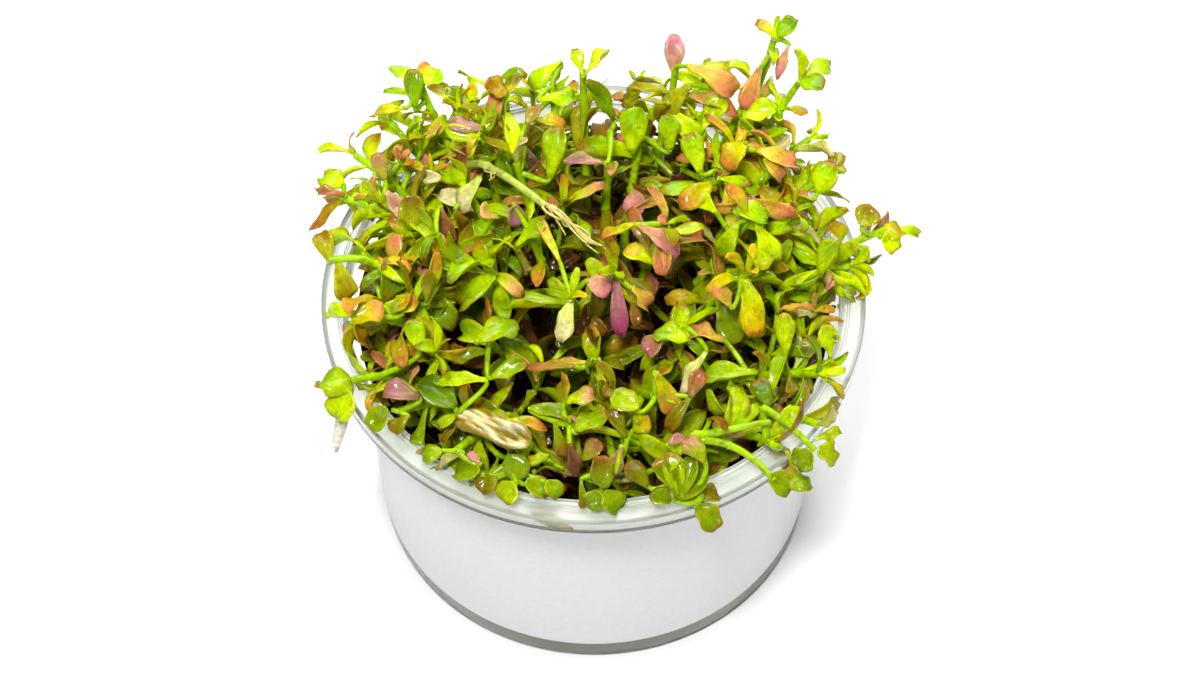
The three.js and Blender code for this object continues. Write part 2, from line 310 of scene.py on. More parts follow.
for name, mark in (("edge", edge_shade_mark), ("mouth", mouth_mark)):
    layer = cup.data.color_attributes.new(name, "FLOAT_COLOR", "POINT")
    for vertex, spot in zip(cup.data.vertices, layer.data):
        spot.color = (mark(vertex.co),) * 3 + (1,)
print("marked points:", len(cup.data.vertices))

# %% Make the clear plastic
clear_plastic, clear_shader = new_material(
    "clear_polypropylene", Roughness=0.12, IOR=1.49, Transmission_Weight=0.95,
)
# The edge attribute holds painted shade: it darkens the plastic's tint and cuts its transmission at the edges
# and grooves.
edge, mouth = (
    add_node(clear_plastic, "Attribute", attribute_name=name).outputs["Fac"] for name in ("edge", "mouth")
)
clear_tint_and_edge_shade = add_node(
    clear_plastic, "Mix", {6: hex_colour("#f2f7ea"), 7: hex_colour("#4e564c")}, {"Factor": edge},
    data_type="RGBA",
)
haze, clearness, edge_shade_clearness = (
    add_node(clear_plastic, "MapRange", {"To Min": low, "To Max": high}, {"Value": mark})
    for low, high, mark in ((0.1, 0.32, mouth), (1.0, 0.76, mouth), (1.0, 0.35, edge))
)
clear_share = add_node(clear_plastic, "Math", links={0: clearness, 1: edge_shade_clearness}, operation="MULTIPLY")

# %% Add the faint rings that the turned mould left
cup_place = add_node(clear_plastic, "TexCoord").outputs["Object"]
cup_parts = add_node(clear_plastic, "SeparateXYZ", links={"Vector": cup_place}).outputs
flat_place = add_node(clear_plastic, "CombineXYZ", links={"X": cup_parts["X"], "Y": cup_parts["Y"]})
from_axis = add_node(clear_plastic, "VectorMath", links={0: flat_place}, operation="LENGTH").outputs["Value"]
turning = add_node(clear_plastic, "Math", links={0: cup_parts["Y"], 1: cup_parts["X"]}, operation="ARCTAN2")
slow_turning = add_node(clear_plastic, "Math", {1: 0.0004}, {0: turning}, operation="MULTIPLY")
ring_place = add_node(
    clear_plastic, "CombineXYZ", links={"X": from_axis, "Y": slow_turning, "Z": cup_parts["Z"]},
)
rings = add_node(clear_plastic, "TexNoise", {"Scale": 1300.0, "Detail": 2.0}, {"Vector": ring_place})
ring_bump = add_node(clear_plastic, "Bump", {"Strength": 0.08, "Distance": 0.0001}, {"Height": rings})
feed(
    clear_plastic, clear_shader, Base_Color=clear_tint_and_edge_shade.outputs[2], Normal=ring_bump, Roughness=haze,
    Transmission_Weight=clear_share,
)
settle(cup, clear_plastic, "cup")
print("cup:", clear_plastic.name)

# %% [markdown]
# ## The label
#
# A sleeve of white film is wrapped round the wall. It is bare, and its seam can't be seen, so it
# is one closed ring. The film is smooth and slightly glossy, with a grain of about a millimetre.

# %% Wrap the label
LABEL_LOW = 5.7
LABEL_HIGH = 55.5
FILM = 0.12
LABEL_GAP = 0.03

label_rings = [(wall_radius(height) + LABEL_GAP, height) for height in (LABEL_LOW, 30.0, LABEL_HIGH)]
label = spin_outline("blank_label", [
    label_rings[0], *[(radius + FILM, height) for radius, height in label_rings], *reversed(label_rings),
])

white_film, film_shader = new_material("white_label_film", Roughness=0.38, IOR=1.5)
film_grain = cloud_colour(white_film, film_shader, 900.0, 3.0, "#cfcfd0", "#dadadb")
film_bump = add_node(white_film, "Bump", {"Strength": 0.15, "Distance": 0.00005}, {"Height": film_grain})
feed(white_film, film_shader, Normal=film_bump)
settle(label, white_film, "label")

# %% [markdown]
# ## The gel
#
# Nutrient gel is poured warm, so it fills the cup's bottom and climbs the wall in a small
# meniscus. It wets the plastic, with no air between, so its edge is let a hair into the wall,
# and the wall shows it as an even, cloudy olive grey. Its clouds are about a centimetre across.

# %% Pour the gel
GEL_LOW = 1.15
GEL_TOP = 12.0
MENISCUS = 0.6
WETTING = 0.06
gel = spin_outline("nutrient_gel", [
    (0.0, GEL_LOW), (wall_radius(1.2) - WALL - 1.4, GEL_LOW), (wall_radius(1.4) - WALL - 0.6, 1.36),
    (wall_radius(3) - WALL + WETTING, 3.0), (wall_radius(GEL_TOP) - WALL + WETTING, GEL_TOP),
    (wall_radius(GEL_TOP) - WALL - 1.2, GEL_TOP - 0.35), (39.0, GEL_TOP - MENISCUS),
    (20.0, GEL_TOP - MENISCUS), (0.0, GEL_TOP - MENISCUS),
])
gel_jelly, gel_shader = new_material(
    "nutrient_jelly", Roughness=0.3, IOR=1.34, Subsurface_Weight=0.2, Subsurface_Scale=0.002,
    Specular_IOR_Level=0.2,
)
cloud_colour(gel_jelly, gel_shader, 90.0, 4.0, "#564e1c", "#6a6126")
settle(gel, gel_jelly, "gel")

# %% [markdown]
# ## Leaf and stem finishes
#
# Leaf tissue is wet and thin: light passes through it and comes out yellower, and a film of
# water on it gives small, sharp highlights. Each leaf carries two tints of its own, one for its
# base and one for its tip, as colour attributes, so one material serves every leaf. Their alphas
# hold two more numbers of the leaf: the base's says how brown its rim is, and the tip's how far
# the base's colour runs up the margins. Veins follow the leaf, so they read its UV map: U runs
# across the blade and V from the base to the tip. Mottling doesn't: its flecks are about 0.7 mm
# across, its brown spots 1.8 mm and its patches 2.4 mm.

# %% Define how a leaf's tints blend
RIM_BROWN = hex_colour("#9c6410")
SPOT_BROWN = hex_colour("#6a4a08")
SMOOTH = {"interpolation_type": "SMOOTHSTEP"}


def leaf_tints(material, uv, off_middle, place, patches):
    """Turns the base tint into the tip tint along the leaf, with a brown rim and brown spots."""
    base, tip = (
        add_node(material, "Attribute", attribute_name=name).outputs for name in ("base_tint", "tip_tint")
    )
    shift = add_node(material, "Math", {1: 0.6, 2: -0.3}, {0: patches}, operation="MULTIPLY_ADD")
    reach = add_node(material, "Math", links={0: uv["Y"], 1: shift}, operation="ADD", use_clamp=True)
    tipped = add_node(material, "MapRange", {"From Min": 0.3, "From Max": 0.95}, {"Value": reach}, **SMOOTH)
    margin = add_node(
        material, "MapRange", {"From Min": 0.26, "From Max": 0.46}, {"Value": off_middle}, **SMOOTH,
    )
    kept_margin = add_node(material, "Math", links={0: margin, 1: tip["Alpha"]}, operation="MULTIPLY")
    inner = add_node(material, "Math", {0: 1.0}, {1: kept_margin}, operation="SUBTRACT")
    tip_share = add_node(material, "Math", links={0: tipped, 1: inner}, operation="MULTIPLY")
    healthy = add_node(
        material, "Mix", links={"Factor": tip_share, 6: base["Color"], 7: tip["Color"]}, data_type="RGBA",
    )
    to_edge = add_node(material, "Math", {1: 2.0}, {0: off_middle}, operation="MULTIPLY")
    to_rim = add_node(material, "Math", links={0: to_edge, 1: uv["Y"]}, operation="MAXIMUM")
    rim = add_node(material, "MapRange", {"From Min": 0.72, "From Max": 1.0}, {"Value": to_rim}, **SMOOTH)
    rim_share = add_node(material, "Math", links={0: rim, 1: base["Alpha"]}, operation="MULTIPLY")
    rimmed = add_node(
        material, "Mix", {7: RIM_BROWN}, {"Factor": rim_share, 6: healthy.outputs[2]}, data_type="RGBA",
    )
    spots = add_node(material, "TexNoise", {"Scale": 560.0, "Detail": 3.0}, {"Vector": place})
    spotted = add_node(
        material, "MapRange", {"From Min": 0.58, "From Max": 0.74, "To Max": 0.5}, {"Value": spots},
    )
    return add_node(
        material, "Mix", {7: SPOT_BROWN}, {"Factor": spotted, 6: rimmed.outputs[2]}, data_type="RGBA",
    ).outputs[2]


# %% Define how a leaf is shaded
def leaf_shade(material, ribs, uv_place, off_middle, place, patches):
    """Ribs across U, a pale midrib, fine flecks and larger patches, multiplied."""
    stripes = add_node(
        material, "TexWave", {"Scale": ribs, "Distortion": 1.2, "Detail": 2.0, "Detail Scale": 1.5},
        {"Vector": uv_place}, wave_type="BANDS", bands_direction="X",
    ).outputs["Fac"]
    flecks = add_node(material, "TexNoise", {"Scale": 1500.0, "Detail": 4.0}, {"Vector": place})
    rib_shade, midrib, fleck_shade, patch_shade = (
        add_node(
            material, "MapRange", {"From Min": start, "From Max": stop, "To Min": low, "To Max": high},
            {"Value": pattern},
        )
        for pattern, start, stop, low, high in (
            (stripes, 0.0, 1.0, 0.92, 1.04), (off_middle, 0.0, 0.06, 1.14, 1.0),
            (flecks, 0.3, 0.7, 0.8, 1.16), (patches, 0.34, 0.66, 0.78, 1.16),
        )
    )
    shade = rib_shade
    for part in (midrib, fleck_shade, patch_shade):
        shade = add_node(material, "Math", links={0: shade, 1: part}, operation="MULTIPLY")
    return shade


# %% Make the leaf tissue
def tissue(name, ribs, roughness, glow):
    """A wet plant tissue that reads its two tints, with ribs across U and mottling in the object's space."""
    material, shader = new_material(
        name, Roughness=roughness, IOR=1.42, Subsurface_Weight=glow, Subsurface_Scale=0.0009,
        Subsurface_Radius=(1.0, 0.85, 0.15), Coat_Weight=0.3, Coat_Roughness=0.07, Specular_IOR_Level=0.1,
    )
    uv_place = add_node(material, "UVMap", uv_map="UVMap")
    uv = add_node(material, "SeparateXYZ", links={"Vector": uv_place}).outputs
    place = add_node(material, "TexCoord").outputs["Object"]
    patches = add_node(material, "TexNoise", {"Scale": 420.0, "Detail": 3.0}, {"Vector": place})
    shifted = add_node(material, "Math", {1: 0.5}, {0: uv["X"]}, operation="SUBTRACT")
    off_middle = add_node(material, "Math", links={0: shifted}, operation="ABSOLUTE")
    tints = leaf_tints(material, uv, off_middle, place, patches)
    shade = leaf_shade(material, ribs, uv_place, off_middle, place, patches)
    final = add_node(material, "VectorMath", links={0: tints, "Scale": shade}, operation="SCALE")
    relief = add_node(material, "Bump", {"Strength": 0.3, "Distance": 0.00012}, {"Height": shade})
    feed(material, shader, Base_Color=final, Normal=relief)
    return material


leaf_tissue = tissue("wet_leaf_tissue", 3.0, 0.3, 0.35)
stem_tissue = tissue("wet_stem_tissue", 2.0, 0.35, 0.3)
old_tissue = tissue("soaked_old_leaf", 3.0, 0.16, 0.0)
print("tissues:", leaf_tissue.name, stem_tissue.name, old_tissue.name)

# %% [markdown]
# ## The palette
#
# The clump is mostly yellow-green, and its stressed and ageing leaves turn olive, brown, orange,
# yellow, salmon, pink, mauve or a bleached cream. Each name has the tint of the leaf's base and
# the tint of its tip.

# %% Name the leaf colours
PALETTE = {
    "lime": ("#c0d600", "#acce00"),
    "green": ("#a4be00", "#76a200"),
    "deep": ("#6e9000", "#4a6c00"),
    "tipped": ("#a4bc00", "#9c6a10"),
    "blush": ("#b4c800", "#d4905c"),
    "olive": ("#94960a", "#7c6a08"),
    "brown": ("#8c7408", "#804c10"),
    "rust": ("#a67c3a", "#ac5e40"),
    "orange": ("#b4b400", "#d08030"),
    "yellow": ("#bac800", "#dab008"),
    "salmon": ("#bea02e", "#da7a54"),
    "pink": ("#ca9068", "#d47880"),
    "mauve": ("#a88060", "#a46878"),
    "maroon": ("#8c5c2c", "#8c4840"),
    "umber": ("#8c8020", "#80603c"),
    "magenta": ("#b87c78", "#a8386c"),
    "bleached": ("#c4ca60", "#d8ca90"),
    "parchment": ("#ece4cc", "#f6f0e4"),
    # The withered leaf's gold is partly painted shade in its pleats, and its cream partly painted highlight
    # on their ridges.
    "papery": ("#8c7400", "#f6ecb4"),
    "stem": ("#9cbe04", "#9ecb08"),
    "pale_stem": ("#c2ce60", "#b6ca54"),
    "root": ("#dccf80", "#d4c470"),
    # The dark, sodden and plum tints of old and deep leaves are partly their own colour and partly painted
    # shade.
    "dark": ("#35260a", "#28170a"),
    "sodden": ("#484008", "#2e2406"),
    "plum": ("#3e2218", "#2e1816"),
}
TINTS = {name: tuple(np.array(hex_colour(text)) for text in pair) for name, pair in PALETTE.items()}
print("tints:", ", ".join(TINTS))

# %% [markdown]
# ## Leaf templates
#
# Rotala has small spoon-shaped leaves: a narrow base, the widest place past the middle and a
# rounded tip. One flat grid is shaped row by row, as by hand, and thickened. Four outlines, and
# a waisted one for the withered leaf, are enough, because every copy is then cupped, rolled and
# bent in its own way. Each outline lists its widths from the base to the tip.

# %% Model the leaf templates
OUTLINES = {
    "spoon": (0.17, 0.20, 0.30, 0.50, 0.76, 0.95, 1.0, 0.88, 0.48),
    "strap": (0.26, 0.36, 0.52, 0.70, 0.85, 0.95, 1.0, 0.92, 0.54),
    "lance": (0.18, 0.32, 0.56, 0.82, 1.00, 0.98, 0.82, 0.54, 0.18),
    "round": (0.2, 0.5, 0.78, 0.93, 1.0, 1.0, 0.96, 0.84, 0.52),
}
WITHERED = (
    0.5, 0.74, 0.9, 0.98, 1, 0.97, 0.9, 0.84, 0.8, 0.79, 0.81, 0.86, 0.93, 0.98, 1, 0.97, 0.9, 0.74, 0.46,
)
TIP_ROUNDING = 0.42


def model_leaf(name, widths, columns=4):
    """Shapes a unit leaf: U is -0.5 to 0.5 across, V is 0 to 1 along, and it is 1 thick."""
    rows = len(widths) - 1
    bpy.ops.object.select_all(action="DESELECT")
    bpy.ops.mesh.primitive_grid_add(
        x_subdivisions=columns, y_subdivisions=rows, size=1.0, location=(0, 0.5, 0),
    )
    bpy.ops.object.transform_apply(location=True)
    leaf = bpy.context.object
    leaf.name = name
    for row, width in enumerate(widths):
        bpy.ops.object.mode_set(mode="EDIT")
        bpy.ops.mesh.select_all(action="DESELECT")
        bpy.ops.object.mode_set(mode="OBJECT")
        for vertex in leaf.data.vertices:
            vertex.select = abs(vertex.co.y - row / rows) < 0.01
        bpy.ops.object.mode_set(mode="EDIT")
        bpy.ops.transform.resize(value=(width, 1, 1))
        bpy.ops.object.mode_set(mode="OBJECT")
    for vertex in leaf.data.vertices:
        vertex.co.y -= TIP_ROUNDING * vertex.co.x ** 2 * max(0.0, vertex.co.y - 0.5) * 2
    thicken = leaf.modifiers.new("thickness", "SOLIDIFY")
    thicken.thickness = 1.0
    thicken.offset = 0.0
    bpy.ops.object.modifier_apply(modifier="thickness")
    bpy.ops.object.mode_set(mode="EDIT")
    bpy.ops.mesh.select_all(action="SELECT")
    bpy.ops.mesh.normals_make_consistent(inside=False)
    bpy.ops.object.mode_set(mode="OBJECT")
    points = np.array([vertex.co[:] for vertex in leaf.data.vertices])
    faces = [tuple(face.vertices) for face in leaf.data.polygons]
    bpy.data.objects.remove(leaf, do_unlink=True)
    print(name, "leaf:", len(faces), "faces")
    return points, faces


LEAVES = {name: model_leaf(name, widths) for name, widths in OUTLINES.items()}
LEAVES["withered"] = model_leaf("withered", WITHERED, 16)

# %% [markdown]
# ## Chance that repeats
#
# The clump should look grown, and yet be the same each time. So its chance numbers come from a
# formula of three others: the stem's number, the leaf's, and one for what is being chosen.

# %% Define the chance numbers
def chance(a, b, c):
    """A number in 0 to 1 that looks scattered but is the same each time."""
    value = math.sin(a * 12.9898 + b * 78.233 + c * 37.719) * 43758.5453
    return value - math.floor(value)


def spread(low, high, a, b, c):
    """A scattered number between two limits."""
    return low + (high - low) * chance(a, b, c)


def pick(names, a, b, c):
    """One of the names, by chance."""
    return names[int(chance(a, b, c) * len(names)) % len(names)]


print("three chances:", [round(chance(1, 1, c), 3) for c in (1, 2, 3)])

# %% [markdown]
# ## Bending a copy of a leaf
#
# A copy gets its length and width, and its edges are folded up along the midrib. Its length then
# follows an arc that tightens towards the tip, so that it curls back, and its blade buckles a
# little. Some leaves roll right over, as wet leaves do. The blade is thinnest at its edge. Points
# that would cut into the cup are moved onto its flange, or in from its wall.

# %% Define what keeps the plant off the cup
FLANGE_INSIDE, FLANGE_OUTSIDE = 44.9, 50.6
UNDER_FLANGE, OVER_FLANGE = 59.8, 62.3
WALL_GAP = 0.2
MOUTH_GAP = 0.3


def keep_clear(points):
    """Moves points in millimetres off the cup: onto its flange, or in from its wall."""
    radius = np.hypot(points[:, 0], points[:, 1])
    height = points[:, 2]
    at_flange = (radius > FLANGE_INSIDE) & (radius < FLANGE_OUTSIDE)
    over = at_flange & (height > UNDER_FLANGE) & (height < OVER_FLANGE)
    height[over] = OVER_FLANGE + 0.1 * (height[over] - UNDER_FLANGE)
    room = np.where(height < SHOULDER + 0.2, wall_radius(height) - WALL - WALL_GAP, MOUTH - MOUTH_GAP)
    inside = (radius < FLANGE_OUTSIDE) & (height <= UNDER_FLANGE) & (radius > room)
    points[inside, :2] *= (room[inside] / radius[inside])[:, None]
    return points


print("room inside the wall at 40 mm:", round(wall_radius(40) - WALL - WALL_GAP, 1), "mm")

# %% Define the leaf bender
LEAF_THICKNESS = 0.3
ARC_STEPS = 32


def pleats(across, along):
    """Lengthwise pleats of a dried leaf, between about -1 and 1."""
    wander = 2.6 * np.sin(along * 6 + 0.6)
    coarse = np.sin(across * 11 + wander) * (0.6 + 0.4 * np.sin(along * 8 + 2))
    return 0.6 * coarse + 0.4 * np.sin(across * 29 - along * 13) * np.sin(along * 10 + across * 4)


def shape_blade(outline, place, key, width):
    """How far a leaf's points lie to the side of its midrib and above it, in millimetres."""
    across, along, depth = LEAVES[outline][0].T
    out = np.abs(across)
    open_share = np.clip(along * 3, 0, 1)
    fold = math.radians(place.get("fold", spread(4, 70, *key, 11) * spread(0.5, 1, *key, 17)))
    twist = math.radians(place.get("twist", spread(-60, 60, *key, 12))) * along
    buckle = place.get("buckle", spread(0.02, 0.17, *key, 13)) * width
    ripple = np.sin(along * 9 + 6 * chance(*key, 14)) * (2 * across) ** 2
    dent = np.sin(across * 7 + along * 6 + 6 * chance(*key, 25)) * open_share
    thin = LEAF_THICKNESS * (1 - 0.75 * np.clip(out * 2, 0, 1) ** 3) * (1.25 - 0.6 * along)
    side = across * width * math.cos(fold)
    lift = out * width * math.sin(fold) * open_share + buckle * (ripple + dent)
    if outline == "round":
        lift += width * spread(-0.12, 0.3, *key, 34) * ((2 * across) ** 2 + (2 * along - 1.1) ** 2)
    if outline == "withered":
        lift += width * (0.13 * pleats(across, along) - 3.2 * out ** 4 + 0.12 * np.sin(along * 9))
        side *= 1 - 0.9 * out ** 3
    turned_lift = side * np.sin(twist) + lift * np.cos(twist)
    return side * np.cos(twist) - lift * np.sin(twist), turned_lift + depth * thin


def bend_leaf(outline, place, key):
    """Returns a copied leaf's points in millimetres, at its place on the stem."""
    along = LEAVES[outline][0][:, 1]
    broad = spread(1.0, 1.3, *key, 30) if chance(*key, 31) < 0.22 else spread(0.64, 0.9, *key, 30)
    side, lift = shape_blade(outline, place, key, place["width"] * place.get("broad", broad))
    length = place["length"] * place.get("stretch", spread(0.95, 1.45, *key, 32))
    rolled = place.get("rolled", chance(*key, 18) < 0.3)
    arc = place["curl"] * 2 * spread(1.0, 1.6, *key, 19) + (spread(0.7, 1.7, *key, 20) if rolled else 0)
    arc += 0.16 * min(place.get("age", 0), 4)
    steps = np.linspace(0, 1, ARC_STEPS + 1)
    angles = arc * steps ** spread(1.0, 2.0, *key, 26)
    middles = (angles[1:] + angles[:-1]) / 2
    ahead, below = (
        np.concatenate([[0], np.cumsum(part(middles) / ARC_STEPS)]) for part in (np.cos, np.sin)
    )
    angle = np.interp(along, steps, angles)
    run = np.interp(along, steps, ahead) * length + np.sin(angle) * lift
    drop = -np.interp(along, steps, below) * length + np.cos(angle) * lift
    forward, upper = place["forward"], place["upper"]
    sideways = np.cross(forward, upper)
    placed = place["base"] + np.outer(run, forward) + np.outer(side, sideways) + np.outer(drop, upper)
    return placed if place.get("caught") else keep_clear(placed)


print("points in a bent leaf:", {name: len(points) for name, (points, _) in LEAVES.items()})

# %% [markdown]
# ## The shoots
#
# Each shoot of the clump is one row: its tip in millimetres, how steeply the tip points up, its
# pairs of leaves, their length and the colour that most of them have. The same rule as in the
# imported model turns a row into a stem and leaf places, so the fine leaves lie on its leaves. The
# tables after it hold the single leaves and the bare stems that stand out.

# %% List the shoots
SHOOTS = [
    # Back, from left to right
    ((-38, 27, 78), 35, 3, 8, "lime"), ((-32, 31, 84), 70, 3, 8, "green"), ((-25, 28, 80), 60, 3, 8, "lime"),
    ((-18, 28, 86), 60, 3, 8, "olive"), ((-8, 30, 85), 50, 3, 9, "lime"), ((-2, 28, 92), 82, 3, 7, "green"),
    ((3, 21, 86), 85, 3, 9, "olive"), ((9, 23, 82), 70, 3, 8, "green"), ((15, 32, 88), 80, 3, 9, "olive"),
    ((22, 28, 86), 60, 4, 9, "salmon"), ((29, 30, 84), 55, 3, 9, "brown"), ((33, 36, 92), 80, 4, 7, "green"),
    ((38, 32, 84), 45, 3, 8, "lime"), ((40, 24, 77), 15, 3, 8, "green"), ((26, 19, 80), 70, 3, 9, "orange"),
    ((34, 17, 79), 50, 3, 9, "salmon"), ((42, 17, 74), 30, 3, 8, "lime"),
    # Right
    ((54, 7, 72), 25, 4, 7, "green"), ((47, 2, 67), 10, 3, 8, "lime"), ((36, 7, 76), 55, 3, 8, "lime"),
    ((28, 3, 80), 70, 3, 11, "green"), ((40, -5, 62), 75, 3, 8, "lime"), ((40, -22, 67), 35, 4, 8, "lime"),
    ((42, -35, 68), 12, 4, 8, "green"), ((36, -42, 68), 0, 3, 8, "lime"),
    # Front, from right to left
    ((19, -48, 66), -10, 3, 8, "green"), ((15, -41, 71), 65, 4, 9, "lime"), ((4, -43, 67), 20, 3, 8, "lime"),
    ((-4, -35, 70), 50, 3, 8, "olive"), ((-14, -43, 66), 10, 3, 8, "lime"),
    ((-25, -40, 67), 15, 3, 9, "green"), ((-24, -31, 67), 45, 3, 8, "olive"),
    ((-36, -32, 68), 20, 3, 8, "green"), ((-45, -26, 69), 10, 3, 8, "lime"),
    # Left
    ((-41, -14, 74), 40, 3, 9, "orange"), ((-48, -4, 76), -15, 3, 8, "olive"),
    ((-46, 9, 78), 5, 3, 8, "olive"), ((-44, 19, 78), 25, 3, 8, "lime"), ((-38, 8, 78), 50, 4, 9, "green"),
    ((-36, -4, 73), 60, 3, 9, "green"),
    # Middle
    ((-28, -1, 80), 75, 3, 10, "green"), ((-23, 8, 82), 70, 3, 9, "lime"), ((-14, 14, 82), 75, 3, 9, "green"),
    ((-19, -7, 79), 80, 3, 10, "green"), ((-11, 0, 78), 80, 3, 9, "lime"), ((-18, -18, 72), 85, 3, 9, "lime"),
    ((-4, -15, 80), 60, 3, 9, "lime"), ((4, -9, 79), 75, 3, 8, "olive"), ((13, -1, 83), 75, 3, 8, "salmon"),
    ((0, -23, 72), 65, 3, 8, "orange"), ((11, -28, 69), 60, 3, 8, "green"),
    ((16, -16, 73), 75, 3, 9, "green"), ((28, -25, 71), 60, 3, 8, "lime"), ((27, -8, 78), 70, 3, 9, "yellow"),
]

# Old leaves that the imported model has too: how far up the stem each starts, where it ends, its width,
# its colour and its outline.
OLD_LEAVES = {
    9: [(0.9, (14.6, 36, 91), 4.6, "mauve", "spoon")],
    32: [(0.98, (-12, -38, 72.5), 6.4, "papery", "withered")],
    34: [(0.9, (-47, -31, 55), 2.7, "parchment", "lance")],
    37: [(0.98, (-51, 3, 77), 2.8, "brown", "strap")],
    39: [(0.97, (-33, 6, 77), 4.0, "mauve", "strap")],
    47: [(0.95, (-5.5, -21, 76), 4.0, "bleached", "strap")],
    48: [(0.98, (5, -17, 72), 3.6, "magenta", "strap")],
    49: [(0.98, (12, -9, 80), 4.6, "salmon", "strap")],
    50: [(0.97, (-9, -24, 72.5), 2.6, "salmon", "strap")],
    54: [(0.97, (29, -17, 72.5), 5.4, "yellow", "strap")],
}

